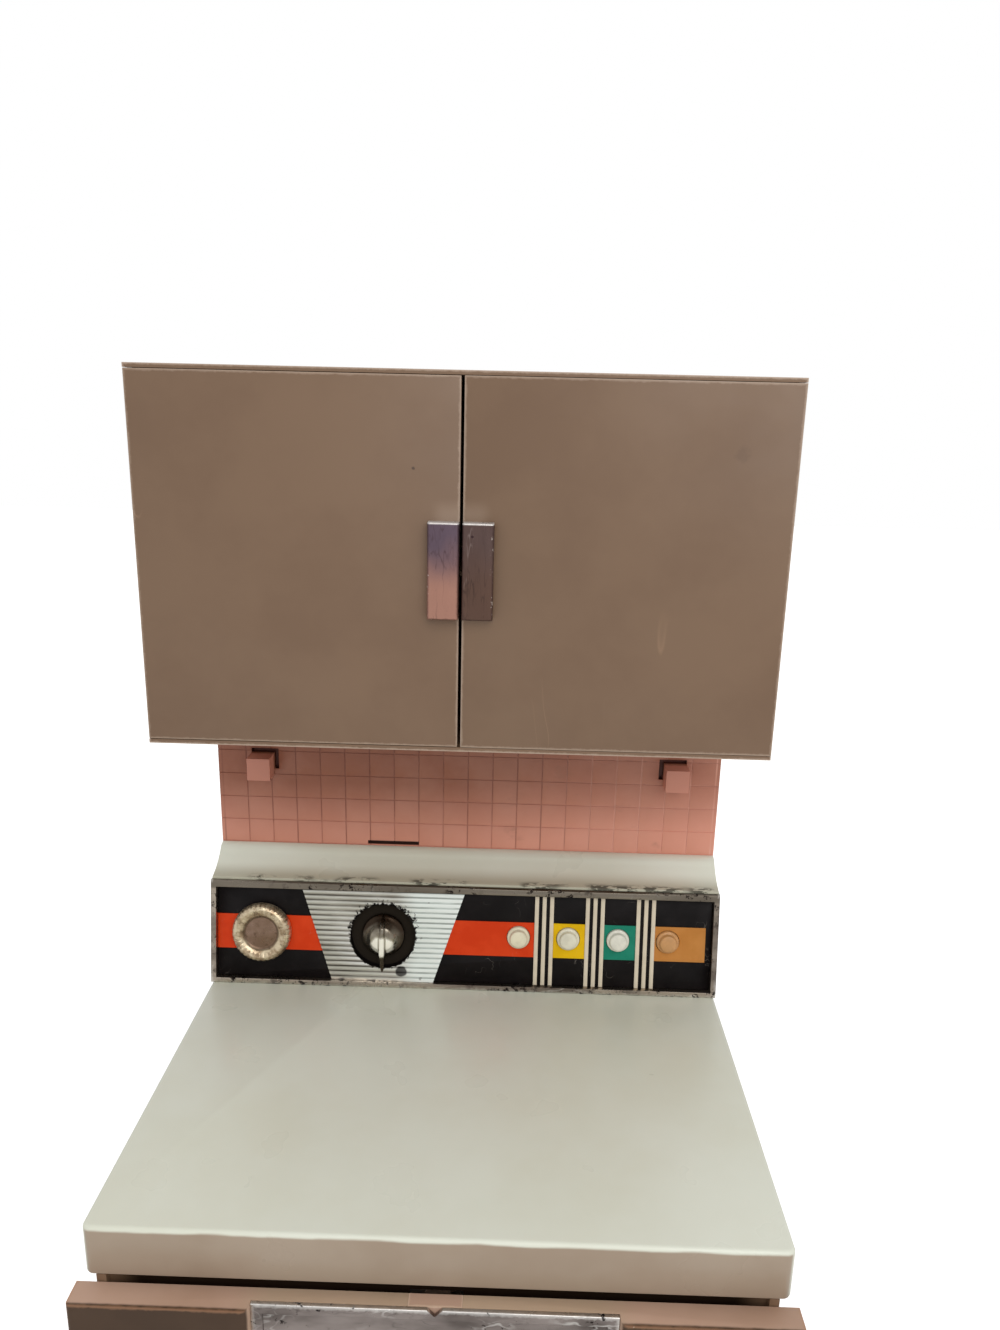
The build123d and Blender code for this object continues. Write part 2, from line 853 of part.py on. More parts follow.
def tan_band():
    """Strip from the third group of bars nearly to the right end."""
    return colour_band(lambda h: bar_edge(2, 1) + run, lambda h: tan_band_end)


def divider_bars():
    """Three groups of three ivory bars, the full height of the panel."""
    low, high = bezel_foot + run, face_height - bezel_top - run
    made = []
    for group in range(bar_groups):
        for n in (-1, 0, 1):
            x = bars_first + group * bars_pitch + n * bar_pitch
            made.append(face_block(x - bar_width / 2, x + bar_width / 2, low, high,
                                   panel_front, panel_front + bar_height))
    return made


def dial_plate():
    """Ribbed silver plate, wider at its top, with the hole for the cycle knob."""
    low, high = bezel_foot + run, face_height - bezel_top - run
    corners = [(dial_edge(h, s), h) for h, s in ((low, -1), (low, 1), (high, 1), (high, -1))]
    outline = make_face(Polyline(*corners, close=True))
    plate = extrude(outline, dial_thickness + rib_height)
    pitch = (high - low) / rib_count
    wide = pitch * groove_share
    for n in range(rib_count):
        groove = Box(2 * dial_top_width, wide, rib_height)
        plate -= Pos(dial_x, low + (n + 1) * pitch - wide / 2, dial_thickness + rib_height / 2) * groove
    plate -= Pos(dial_x, band_middle, 0) * Cylinder(dial_hole / 2, 4 * dial_thickness)
    return console * Pos(0, 0, panel_front) * plate


def stem(x, height, start, end):
    """Knob's stem through the housing's wall, with a snap ring behind it."""
    bar = on_face(x, height, end, start, stem_radius)
    ring_front = wall_inner - gap
    return bar + on_face(x, height, ring_front - snap_length, ring_front, snap_radius)


def timer_knob():
    """Low round knob with a notched rim and a sunk middle."""
    foot = panel_front + band_thickness + gap
    radius = timer_diameter / 2
    top = panel_front + timer_reach
    knob = Pos(0, 0, (foot + top) / 2) * Cylinder(radius, top - foot)
    knob = chamfer(knob.faces().sort_by(Axis.Z)[-1].edges(), timer_bevel, timer_bevel_drop)
    for n in range(timer_notches):
        notch = Pos(radius, 0, top - timer_sink / 2) * Box(notch_in, notch_wide, notch_tall)
        knob -= Rot(0, 0, n * 360 / timer_notches) * notch
    knob -= Pos(0, 0, top - timer_sink / 2) * Cylinder(timer_recess / 2, timer_sink)
    knob = console * Pos(timer_x, timer_height, 0) * knob
    return knob + stem(timer_x, timer_height, foot + stem_past, wall_inner - gap - 2 * snap_length)


def cycle_knob():
    """Cone in the dial's hole, with an upright fin that ends in a tail."""
    foot = panel_back + gap
    top = panel_front + cycle_reach
    shoulder = foot + cycle_skirt_height
    low = panel_front + cycle_reach - cycle_nub
    knob = Pos(0, 0, (foot + shoulder) / 2) * Cylinder(cycle_skirt / 2, shoulder - foot)
    knob += Pos(0, 0, (shoulder + low) / 2) * Cone(cycle_skirt / 2, cycle_top, low - shoulder)
    ridge = [
        (-cycle_skirt / 2, foot),
        (cycle_skirt / 2, foot),
        (cycle_skirt / 2, shoulder),
        (cycle_nose, top),
        (-cycle_heel, top),
        (-cycle_tail, sweep_front + cycle_tail_height),
        (-cycle_tail, sweep_front),
        (-cycle_skirt / 2, sweep_front),
    ]
    fin = extrude(Plane.YZ.offset(-cycle_fin / 2) * make_face(Polyline(*ridge, close=True)), cycle_fin)
    knob = console * Pos(dial_x, band_middle, 0) * (knob + fin)
    return knob + on_face(dial_x, band_middle, wall_inner - switch_bore + gap, foot + stem_past, stem_radius)


def cycle_switch():
    """Switch behind the housing's wall that the cycle knob turns, with two tabs."""
    half = switch_size / 2
    back = wall_inner - switch_depth
    body = face_block(dial_x - half, dial_x + half, band_middle - half, band_middle + half, back, wall_inner)
    body -= on_face(dial_x, band_middle, wall_inner - switch_bore, wall_inner, stem_radius + run)
    for x in (dial_x - tab_offset, dial_x + tab_offset):
        body += face_block(x - tab_half, x + tab_half, tab_rise(), tab_rise() + tab_wall, back - tab_reach, back)
    return body


def tab_rise():
    """Height up the face of the underside of the switch's tabs."""
    return band_middle - switch_size / 2 + tab_up


def switch_tab_foot():
    """Y and Z of the middle of the tabs' underside."""
    return face_point(tab_rise(), wall_inner - switch_depth - tab_reach / 2)


def push_button(x):
    """Tapered cap, retaining flange and guide stem."""
    flange_front = wall_inner - gap
    flange_back = flange_front - button_flange_length
    cap = on_face(x, button_height, flange_front, panel_front, button_base / 2)
    taper = Cone(button_base / 2, button_cap / 2, button_reach)
    cap += console * Pos(x, button_height, panel_front + button_reach / 2) * taper
    cap += on_face(x, button_height, flange_back, flange_front, button_flange)
    stem_end = flange_back - spring_length - carrier_wall - stem_past
    return cap + on_face(x, button_height, stem_end, flange_back, button_stem)


def button_spring(x):
    """Return spring between the button's flange and the carrier."""
    flange_back = wall_inner - gap - button_flange_length
    coil_height = spring_length - 2 * spring_wire - 2 * run
    path = Helix(coil_height / spring_turns, coil_height, spring_radius)
    section = Plane(origin=path @ 0, z_dir=path % 0) * Circle(spring_wire)
    coil = sweep(section, path, is_frenet=True)
    return console * Pos(x, button_height, flange_back - spring_length + spring_wire + run) * coil


def button_carrier():
    """Bar behind the buttons that guides their stems and backs their springs."""
    places = button_places()
    x0, x1 = places[0] - carrier_margin, places[-1] + carrier_margin
    front_face = wall_inner - gap - button_flange_length - spring_length
    low, high = button_height - carrier_height / 2, button_height + carrier_height / 2
    bar = face_block(x0, x1, low, high, front_face - carrier_wall, front_face)
    for x in (x0, x1 - carrier_wall):
        bar += face_block(x, x + carrier_wall, low, high, front_face, wall_inner)
    for x in places:
        bar -= on_face(x, button_height, front_face - carrier_wall, front_face, button_stem + run)
    return bar


def tile_board():
    """Tiled splashback with two pegs, their slots and a slit above the cove."""
    low = cover_top + gap
    high = wall_top - board_margin
    board = block(-half_counter, half_counter, board_y, back_y, low, high)
    tiles_foot = counter_height + cove_rise
    groove_back = board_y + groove_depth
    for n in range(tile_columns + 1):
        x = (n - tile_columns / 2) * tile
        board -= block(x - groove_width / 2, x + groove_width / 2, board_y, groove_back, tiles_foot, wall_bottom)
    for n in range(int((wall_bottom - tiles_foot) / tile) + 1):
        z = tiles_foot + n * tile
        board -= block(-half_counter, half_counter, board_y, groove_back, z, z + groove_width)
    slot_back = board_y + slit_depth
    half = peg_size / 2
    z = counter_height + peg_rise
    for side in (-1, 1):
        x = side * peg_x
        board += block(x - half, x + half, board_y - peg_reach, groove_back, z - half, z + half)
        board -= block(x - half, x + half, board_y, slot_back, z + half, z + half + peg_slot)
        inner = x - side * (half + peg_slot / 2)
        board -= block(inner - peg_slot / 2, inner + peg_slot / 2, board_y, slot_back,
                       z - half / 2, z + half + peg_slot)
    board -= block(slit_x - slit_width / 2, slit_x + slit_width / 2, board_y, slot_back,
                   tiles_foot + groove_width, tiles_foot + groove_width + slit_height)
    for x, z in board_screw_places():
        board -= bar_y(x, screw_seat, back_y, z, screw_head + gap)
        board -= bar_y(x, board_y, back_y, z, screw_radius + run)
    return board


def wall_cabinet():
    """Open-fronted box with lips over and under its doors, and ledges for the shelf."""
    side_front = leaf_back + leaf_reveal
    box = block(-half_counter, half_counter, side_front, board_y, wall_bottom, wall_top)
    box += block(-half_counter, half_counter, wall_front, side_front, wall_top - wall_board, wall_top)
    box += block(-half_counter, half_counter, wall_front, side_front, wall_bottom, wall_bottom + wall_board)
    x = half_counter - wall_side
    box -= block(-x, x, side_front, board_y - wall_back, wall_bottom + wall_board, wall_top - wall_board)
    shelf = shelf_height()
    box += both_sides(block(x - shelf_ledge, x, side_front + ledge_setback, board_y - wall_back,
                            shelf - ledge_height, shelf))
    for z in (wall_bottom, wall_top - wall_board):
        box -= both_sides(post(leaf_axis_x, leaf_axis_y, z, z + wall_board, leaf_pin))
    for px, pz in board_screw_places()[2:]:
        box += bar_y(px, board_y - wall_back - wall_boss_length, board_y - wall_back, pz, wall_boss)
        box -= bar_y(px, board_y - screw_length, board_y, pz, screw_radius + run)
    return box


def shelf_height():
    """Underside of the shelf."""
    return wall_bottom + wall_height * shelf_share


def cabinet_shelf():
    """Loose shelf on the ledges."""
    x = half_counter - wall_side - gap
    z = shelf_height()
    start = leaf_back + leaf_reveal + shelf_setback
    return block(-x, x, start, board_y - wall_back - gap, z, z + shelf_wall)


def leaf_pins():
    """Four short pins, pressed into the boards, that the wall cabinet's doors turn on."""
    made = []
    for side in (-1, 1):
        x = side * leaf_axis_x
        made.append(post(x, leaf_axis_y, wall_bottom, wall_bottom + leaf_pin_length, leaf_pin))
        made.append(post(x, leaf_axis_y, wall_top - leaf_pin_length, wall_top, leaf_pin))
    return made


def right_leaf():
    """Door of the wall cabinet: a skin with a rim behind it, turned edge rounded inside."""
    inner = leaf_gap / 2
    leaf = block(inner, half_counter, wall_front, leaf_back, leaf_bottom, leaf_top)
    edges = leaf.edges().filter_by(Axis.Z)
    turned = edges.sort_by(lambda e: e.center().X + e.center().Y)[-1]
    leaf = fillet(turned, leaf_thickness / 2 - 2 * run)
    leaf -= block(inner + leaf_rim, half_counter - leaf_rim, wall_front + leaf_skin, leaf_back,
                  leaf_bottom + leaf_rim, leaf_top - leaf_rim)
    for z0, z1 in ((leaf_bottom, wall_bottom + leaf_pin_length + gap), (wall_top - leaf_pin_length - gap, leaf_top)):
        leaf -= post(leaf_axis_x, leaf_axis_y, z0, z1, leaf_pin + run)
    return leaf


def right_handle():
    """Flat bright pull beside the free edge of the right door."""
    x = leaf_gap / 2
    middle = (leaf_bottom + leaf_top) / 2
    pull = block(x, x + handle_width, wall_front - handle_reach, wall_front,
                 middle - handle_length / 2, middle + handle_length / 2)
    return chamfer(pull.faces().sort_by(Axis.Y)[0].edges(), handle_chamfer)


def plate_pocket():
    """What is cut from the lower door for the bright plate, open at the top."""
    face = front - door_thickness
    half = plate_width / 2 + run
    deep = plate_recess + plate_thickness
    low = door_bottom + plate_foot
    pocket = block(-half, half, face, face + deep, low, door_top)
    wide = half + pocket_round
    corner = block(half, wide, face, face + pocket_round, low, door_top)
    corner -= post(wide, face + pocket_round, low, door_top, pocket_round)
    return pocket + both_sides(corner)


def lower_door():
    """Drop-down door with a pocket for its plate, a hollow back and two hinge ears."""
    face = front - door_thickness
    door = block(-door_half, door_half, face, front, door_bottom, door_top)
    door = fillet(door.edges().filter_by(Axis.Z).group_by(Axis.Y)[0], door_round)
    door -= plate_pocket()
    reach = tub_inner - liner_margin - liner_rim
    low = tub_floor + tub_wall + liner_margin + liner_rim
    high = header_bottom - liner_margin - liner_rim
    door -= block(-reach, reach, front - door_cavity, front, low, high)
    for x, z in liner_screw_places():
        door += bar_y(x, front - door_cavity, front, z, liner_boss)
        door -= bar_y(x, front - liner_screw_length, front, z, screw_radius + run)
    half = catch_width / 2 + run
    door -= block(-half, half, front - catch_depth, front, door_top - catch_drop, door_top)
    outer = half_inside - gap
    ear = block(outer - ear_width, outer, front, hinge_y, hinge_height - ear_radius, hinge_height + ear_radius)
    ear += bar_x(outer - ear_width, outer, hinge_y, hinge_height, ear_radius)
    ear -= bar_x(outer - ear_width, outer, hinge_y, hinge_height, hinge_pin + run)
    return door + both_sides(ear)


def door_plate():
    """Bright plate with a stepped border and a small notch in the middle of its top edge."""
    face = front - door_thickness
    half = plate_width / 2
    low = door_bottom + plate_foot
    y0 = face + plate_recess
    plate = block(-half, half, y0, y0 + plate_thickness, low + run, door_top)
    inner = half - plate_border
    plate -= block(-inner, inner, y0, y0 + plate_step, low + plate_border, door_top - plate_border)
    notch = Polyline((-notch_width / 2, door_top), (notch_width / 2, door_top), (0, door_top - notch_depth), close=True)
    cut = extrude(Plane.XZ.offset(-y0 - plate_thickness) * make_face(notch), plate_thickness)
    return plate - cut


def door_liner():
    """Dished inner panel with a round cup."""
    x = tub_inner - liner_margin
    low = tub_floor + tub_wall + liner_margin
    high = header_bottom - liner_margin
    y1 = front + liner_thickness
    liner = block(-x, x, front, y1, low, high)
    liner -= block(-x + liner_rim, x - liner_rim, y1 - liner_dish, y1, low + liner_rim, high - liner_rim)
    cup = bar_y(0, y1 - liner_dish, y1, (low + high) / 2, cup_radius)
    cup -= bar_y(0, y1 - liner_dish, y1, (low + high) / 2, cup_radius - cup_wall)
    liner += cup
    for px, pz in liner_screw_places():
        liner -= bar_y(px, front, y1, pz, screw_radius + run)
    return liner


def door_catch():
    """Insert in the door's top edge, with a nib that meets the strike."""
    half = catch_width / 2
    low = door_top - catch_drop
    catch = block(-half, half, front - catch_depth + run, front, low, door_top)
    nib = bar_x(-half / 2, half / 2, front, (low + door_top) / 2, nib_reach)
    return catch + nib


def hinge_pins():
    """Two pins, pressed into the side walls, that the lower door turns on."""
    inner = half_inside - gap - ear_width
    made = bar_x(inner, half_body, hinge_y, hinge_height, hinge_pin)
    return [made, mirror(made, Plane.YZ)]


def wire(points):
    """A lead along straight runs joined by arcs."""
    path = FilletPolyline(*points, radius=wire_bend)
    section = Plane(origin=path @ 0, z_dir=path % 0) * Circle(wire_radius)
    return sweep(section, path)


def wiring():
    """Leads between the cells, the motor and the switch behind the console."""
    end_x = cell_half + box_wall
    side_x = end_x + lead_out
    slot_y = (tub_back + box_y - box_room - box_wall) / 2
    motor_top = motor_foot + bracket_wall + motor_length
    over_motor = (motor_top + box_middle - box_room - box_wall) / 2
    tab_y, tab_foot = switch_tab_foot()
    tab_z = tab_foot - gap
    bend_z = header_bottom
    low_z = box_middle + box_room + 3 * box_wall + wire_bend
    left, right = dial_x - tab_offset, dial_x + tab_offset
    cell_to_switch = [
        (-end_x, box_y, box_middle),
        (-side_x, box_y, box_middle),
        (-side_x, box_y, bend_z),
        (left, tab_y, bend_z),
        (left, tab_y, tab_z),
    ]
    switch_to_motor = [
        (right, tab_y, tab_z),
        (right, tab_y, bend_z),
        (right, slot_y, low_z),
        (right, slot_y, over_motor),
        (-motor_tab, back_room_y, over_motor),
        (-motor_tab, back_room_y, motor_top),
    ]
    motor_to_cell = [
        (motor_tab, back_room_y, motor_top),
        (motor_tab, back_room_y, over_motor),
        (side_x, back_room_y, over_motor),
        (side_x, box_y, box_middle),
        (end_x, box_y, box_middle),
    ]
    return [wire(route) for route in (cell_to_switch, switch_to_motor, motor_to_cell)]


def nodes():
    """Every piece by the name of its node."""
    parts = {
        "base_cabinet": base_cabinet(),
        "catch_strike": catch_strike(),
        "base_plate": base_plate(),
        "kick_plate": kick_plate(),
        "tub": tub(),
        "rack_runners": rack_runners(),
        "dish_rack": dish_rack(),
        "arm_bush": arm_bush(),
        "spray_arm": spray_arm(),
        "arm_shaft": arm_shaft(),
        "arm_pulley": pulley(0, arm_y, pulley_radius, shaft_radius),
        "motor_pulley": pulley(0, back_room_y, motor_pulley_radius, motor_shaft),
        "drive_belt": drive_belt(),
        "motor_case": motor_case(),
        "motor_spindle": motor_spindle(),
        "motor_bracket": motor_bracket(),
        "battery_box": battery_box(),
        "battery_cells": battery_cells(),
        "battery_contacts": battery_contacts(),
        "back_cover": back_cover(),
        "battery_hatch": battery_hatch(),
        "cover_screws": screws(cover_screw_places(), screw_seat, screw_length),
        "board_screws": screws(board_screw_places(), screw_seat, screw_length),
        "liner_screws": screws(liner_screw_places(), front + liner_thickness - liner_dish, liner_screw_length),
        "wiring": wiring(),
        "countertop": countertop(),
        "console_housing": console_housing(),
        "console_bezel": console_bezel(),
        "console_panel": console_panel(),
        "orange_band": orange_band(),
        "yellow_band": yellow_band(),
        "teal_band": teal_band(),
        "tan_band": tan_band(),
        "divider_bars": divider_bars(),
        "dial_plate": dial_plate(),
        "timer_knob": timer_knob(),
        "cycle_knob": cycle_knob(),
        "cycle_switch": cycle_switch(),
        "button_carrier": button_carrier(),
        "tile_board": tile_board(),
        "wall_cabinet": wall_cabinet(),
        "cabinet_shelf": cabinet_shelf(),
        "leaf_pins": leaf_pins(),
        "right_leaf": right_leaf(),
        "left_leaf": mirror(right_leaf(), Plane.YZ),
        "right_handle": right_handle(),
        "left_handle": mirror(right_handle(), Plane.YZ),
        "lower_door": lower_door(),
        "door_plate": door_plate(),
        "door_liner": door_liner(),
        "door_catch": door_catch(),
        "hinge_pins": hinge_pins(),
    }
    for n, x in enumerate(button_places(), 1):
        parts[f"button_{n}"] = push_button(x)
        parts[f"button_spring_{n}"] = button_spring(x)
    return parts


def solids_of(shape):
    """All the solids of a piece or of a group of pieces."""
    if isinstance(shape, (list, tuple)):
        return [s for item in shape for s in solids_of(item)]
    return list(shape.solids())


os.makedirs("parts", exist_ok=True)
for name, shape in nodes().items():
    found = solids_of(shape)
    whole = found[0] if len(found) == 1 else Compound(children=found)
    export_step(whole, f"parts/{name}.step")
    print(name, len(found), "solids", round(sum(s.volume for s in found)), "mm3")
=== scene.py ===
# %% [markdown]
# A toy dishwasher with its wall cupboard. The solid model already holds every piece at its
# real size, so this lesson dresses it: rounded moulded edges, turned knobs worked out as
# surfaces of revolution, and worn plastic and plating made from shader nodes.
# Everything is in metres. +X is right, -Y is the front, +Z is up, and the floor is z = 0.

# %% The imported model
import bpy
import bmesh
import json
import math
import numpy as np
from mathutils import Matrix, Vector


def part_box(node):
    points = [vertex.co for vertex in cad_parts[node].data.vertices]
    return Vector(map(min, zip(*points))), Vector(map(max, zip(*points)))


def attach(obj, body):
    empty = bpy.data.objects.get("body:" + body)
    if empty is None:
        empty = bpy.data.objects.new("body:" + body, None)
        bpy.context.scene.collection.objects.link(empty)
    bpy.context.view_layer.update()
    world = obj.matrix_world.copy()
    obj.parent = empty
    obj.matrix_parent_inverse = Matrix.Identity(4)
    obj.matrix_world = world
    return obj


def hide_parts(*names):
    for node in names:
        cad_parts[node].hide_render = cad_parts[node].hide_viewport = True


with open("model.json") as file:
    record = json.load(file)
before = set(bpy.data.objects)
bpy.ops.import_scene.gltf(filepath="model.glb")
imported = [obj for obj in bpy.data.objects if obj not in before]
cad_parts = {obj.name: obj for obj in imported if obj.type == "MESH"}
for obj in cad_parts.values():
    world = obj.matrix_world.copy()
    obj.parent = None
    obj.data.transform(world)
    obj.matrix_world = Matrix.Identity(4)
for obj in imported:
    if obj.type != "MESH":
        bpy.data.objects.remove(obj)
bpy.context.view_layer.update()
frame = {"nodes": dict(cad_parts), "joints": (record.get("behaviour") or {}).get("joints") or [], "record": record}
MM = 0.001
BOARD_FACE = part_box("wall_cabinet")[1][1]
BOARD_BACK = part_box("tile_board")[1][1]
COUNTER_LOW, COUNTER_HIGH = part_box("countertop")
body_of = {}
for body_name, members in frame["record"]["behaviour"]["bodies"].items():
    for member in members:
        body_of[member] = body_name


def add(name, data):
    """A new object in the scene."""
    thing = bpy.data.objects.new(name, data)
    bpy.context.scene.collection.objects.link(thing)
    return thing


print("pieces in the model:", len(frame["nodes"]))

# %% [markdown]
# The camera stands where the photograph was taken from: a phone held above the counter,
# turned down by about 15 degrees and tipped a little. A camera at rest looks straight down,
# so it is first tipped about its axis, then raised to the view and swung to the side.

# %% The camera
CAMERA_PLACE = (0.01525, -0.2544, 0.3503)
CAMERA_YAW = -0.0153
CAMERA_PITCH = 0.2579
CAMERA_ROLL = 0.0237
SENSOR = 36.0
LENS = 26.01
NEAREST_SEEN = 0.01

camera = add("camera", bpy.data.cameras.new("camera"))
camera.data.sensor_width = SENSOR
camera.data.lens = LENS
camera.data.clip_start = NEAREST_SEEN
tipped = Matrix.Rotation(CAMERA_ROLL, 4, "Z")
raised = Matrix.Rotation(math.pi / 2 - CAMERA_PITCH, 4, "X")
swung = Matrix.Rotation(-CAMERA_YAW, 4, "Z")
camera.matrix_world = Matrix.Translation(CAMERA_PLACE) @ swung @ raised @ tipped
bpy.context.scene.camera = camera
bpy.context.scene.view_settings.view_transform = "Standard"
print("camera at", CAMERA_PLACE)

# %% [markdown]
# A finish is a web of small nodes. Writing one link at a time is long, so `put` adds a node,
# sets it up and feeds its sockets in one go. A value that is a socket gets linked, any other
# value is set, and a colour is always given as it looks on screen, 0 to 255 a channel.

# %% Short ways to write shader nodes
def paint(color):
    """A screen colour as the linear colour that shaders use."""
    channels = np.array(color) / 255
    linear = np.where(channels <= 0.04045, channels / 12.92, ((channels + 0.055) / 1.055) ** 2.4)
    return (*linear.tolist(), 1.0)


def feed(tree, socket, value):
    """Links a socket to another, or sets its value."""
    if isinstance(value, bpy.types.NodeSocket):
        tree.links.new(value, socket)
    elif socket.type == "RGBA":
        socket.default_value = paint(value)
    else:
        socket.default_value = value


def put(tree, kind, feeds=None, **settings):
    """Adds a node to a tree, sets its properties and feeds its inputs."""
    node = tree.nodes.new(kind)
    for name, value in settings.items():
        setattr(node, name, value)
    for name, value in (feeds or {}).items():
        feed(tree, node.inputs[name], value)
    return node


def calc(tree, operation, first, second=0.0, clamp=False):
    """One sum: the output of a Math node."""
    feeds = {0: first, 1: second}
    return put(tree, "ShaderNodeMath", feeds, operation=operation, use_clamp=clamp).outputs[0]


def plus(tree, first, second, clamp=False):
    """The sum of two values."""
    return calc(tree, "ADD", first, second, clamp)


def minus(tree, first, second, clamp=False):
    """The first value less the second."""
    return calc(tree, "SUBTRACT", first, second, clamp)


def times(tree, first, *others):
    """The product of two or more values."""
    for other in others:
        first = calc(tree, "MULTIPLY", first, other)
    return first


def length(tree, across, up):
    """The long side of a right-angled triangle."""
    return calc(tree, "SQRT", plus(tree, times(tree, across, across), times(tree, up, up)))


def ramp(tree, value, low, high, start=0.0, end=1.0):
    """A smooth step from start to end, as a value goes from low to high."""
    feeds = {"Value": value, "From Min": low, "From Max": high, "To Min": start, "To Max": end}
    return put(tree, "ShaderNodeMapRange", feeds, interpolation_type="SMOOTHSTEP").outputs["Result"]


def within(tree, value, low, high, soft=0.1 * MM):
    """A mask that is 1 from low to high and falls to 0 over a short way outside."""
    return times(tree, ramp(tree, value, low - soft, low), ramp(tree, value, high + soft, high))


def blend(tree, share, under, over):
    """One colour laid over another by a mask."""
    return put(tree, "ShaderNodeMix", {0: share, 6: under, 7: over}, data_type="RGBA").outputs[2]


def vector(tree, operation, first, second):
    """The output of a Vector Math node."""
    return put(tree, "ShaderNodeVectorMath", {0: first, 1: second}, operation=operation).outputs[0]


def stretched(tree, place, sides):
    """The coordinates multiplied along each axis: a small number draws a pattern out along it."""
    return vector(tree, "MULTIPLY", place, sides)


def axes(tree, place):
    """The three coordinates, each as a socket."""
    return put(tree, "ShaderNodeSeparateXYZ", {0: place}).outputs


def noise(tree, place, scale, detail=3.0, rough=0.5):
    """Soft noise from about 0.25 to 0.75."""
    feeds = {"Vector": place, "Scale": scale, "Detail": detail, "Roughness": rough}
    return put(tree, "ShaderNodeTexNoise", feeds).outputs["Fac"]


def patchy(tree, place, scale, low, high):
    """A value that wanders between two others, for uneven gloss."""
    return ramp(tree, noise(tree, place, scale), 0.3, 0.7, low, high)


def new_group(name, inputs, output):
    """An empty shader group: its tree, its inputs' sockets by name, and its one output's socket."""
    tree = bpy.data.node_groups.new(name, "ShaderNodeTree")
    for label, kind, start in inputs:
        socket = tree.interface.new_socket(label, in_out="INPUT", socket_type=kind)
        socket.default_value = start
    tree.interface.new_socket(output[0], in_out="OUTPUT", socket_type=output[1])
    return tree, put(tree, "NodeGroupInput").outputs, put(tree, "NodeGroupOutput").inputs[0]


VECTOR, FLOAT, COLOR = "NodeSocketVector", "NodeSocketFloat", "NodeSocketColor"
WHITE = (1, 1, 1, 1)
PLACE = ("Place", VECTOR, (0, 0, 0))
MASK = ("Mask", FLOAT)
print("shader helpers ready")

# %% [markdown]
# Old moulded plastic is never one colour. It has faded in clouds, it is dusted with tiny pale
# and dark specks, it carries fine scratches, and its edges are rubbed. Each of these is a
# group with named inputs, built once and placed in every finish with its own values.

# %% Clouds, specks and scratches
WAVER_SCALE = 900.0             # how finely a speck's rim wavers
WAVER = 1.2 * MM


def cloud_group():
    """A second tint in soft clouds over the first."""
    inputs = [PLACE, ("Base", COLOR, WHITE), ("Tint", COLOR, WHITE), ("Scale", FLOAT, 30.0),
              ("Amount", FLOAT, 0.5)]
    tree, given, out = new_group("clouds", inputs, ("Color", COLOR))
    broad = noise(tree, given["Place"], given["Scale"], 4.0, 0.6)
    share = times(tree, ramp(tree, broad, 0.35, 0.68), given["Amount"])
    feed(tree, out, blend(tree, share, given["Base"], given["Tint"]))
    return tree


def speck_group():
    """A few random cells of a Voronoi pattern, each with a ragged dot in it."""
    inputs = [PLACE, ("Scale", FLOAT, 100.0), ("Rarity", FLOAT, 0.9), ("Size", FLOAT, 0.1)]
    tree, given, out = new_group("specks", inputs, MASK)
    waver = put(tree, "ShaderNodeTexNoise", {"Vector": given["Place"], "Scale": WAVER_SCALE, "Detail": 1.0})
    wander = stretched(tree, waver.outputs["Color"], (WAVER, WAVER, WAVER))
    moved = vector(tree, "ADD", given["Place"], wander)
    cells = put(tree, "ShaderNodeTexVoronoi", {"Vector": moved, "Scale": given["Scale"]}).outputs
    luck = put(tree, "ShaderNodeSeparateColor", {0: cells["Color"]}).outputs
    chosen = calc(tree, "GREATER_THAN", luck[0], given["Rarity"])
    dot = calc(tree, "LESS_THAN", cells["Distance"], times(tree, luck[1], given["Size"]))
    feed(tree, out, times(tree, chosen, dot))
    return tree


def scratch_group():
    """Thin level lines of a noise, broken up by another noise."""
    inputs = [PLACE, ("Scale", FLOAT, 60.0), ("Width", FLOAT, 0.01), ("Share", FLOAT, 0.5)]
    tree, given, out = new_group("scratches", inputs, MASK)
    lines = noise(tree, given["Place"], given["Scale"], 2.0)
    off_middle = calc(tree, "ABSOLUTE", minus(tree, lines, 0.5))
    thin = minus(tree, 1.0, calc(tree, "DIVIDE", off_middle, given["Width"]), clamp=True)
    broken = noise(tree, given["Place"], times(tree, given["Scale"], 0.7), 1.0)
    gate = ramp(tree, broken, minus(tree, 0.75, times(tree, given["Share"], 0.4)), 0.75)
    feed(tree, out, times(tree, thin, gate))
    return tree


clouds, specks, scratches = cloud_group(), speck_group(), scratch_group()
print("groups:", clouds.name, specks.name, scratches.name)

# %% [markdown]
# Rubbed edges, and the painted highlights laid along some edges, need the distance from the nearest edge of the
# piece. For a piece that is roughly a box there are three distances, one to each pair of faces, and an edge is
# where two of them are small. The middle one of the three is then the distance from the edge, and it is the sum
# less the smallest and the largest.

# %% Edge wear and painted edge highlights
def edge_group():
    """A ragged mask along the edges of a box."""
    inputs = [PLACE, ("Low", VECTOR, (0, 0, 0)), ("High", VECTOR, (1, 1, 1)), ("Width", FLOAT, MM),
              ("Scale", FLOAT, 400.0)]
    tree, given, out = new_group("edge_band_group", inputs, MASK)
    from_low = vector(tree, "SUBTRACT", given["Place"], given["Low"])
    from_high = vector(tree, "SUBTRACT", given["High"], given["Place"])
    part = axes(tree, vector(tree, "MINIMUM", from_low, from_high))
    least = calc(tree, "MINIMUM", calc(tree, "MINIMUM", part[0], part[1]), part[2])
    most = calc(tree, "MAXIMUM", calc(tree, "MAXIMUM", part[0], part[1]), part[2])
    total = plus(tree, plus(tree, part[0], part[1]), part[2])
    middle = minus(tree, minus(tree, total, least), most)
    ragged = noise(tree, given["Place"], given["Scale"], 3.0, 0.7)
    span = times(tree, given["Width"], ragged, 2.0)
    feed(tree, out, minus(tree, 1.0, calc(tree, "DIVIDE", middle, span), clamp=True))
    return tree


edge_band_group = edge_group()
print("group:", edge_band_group.name)


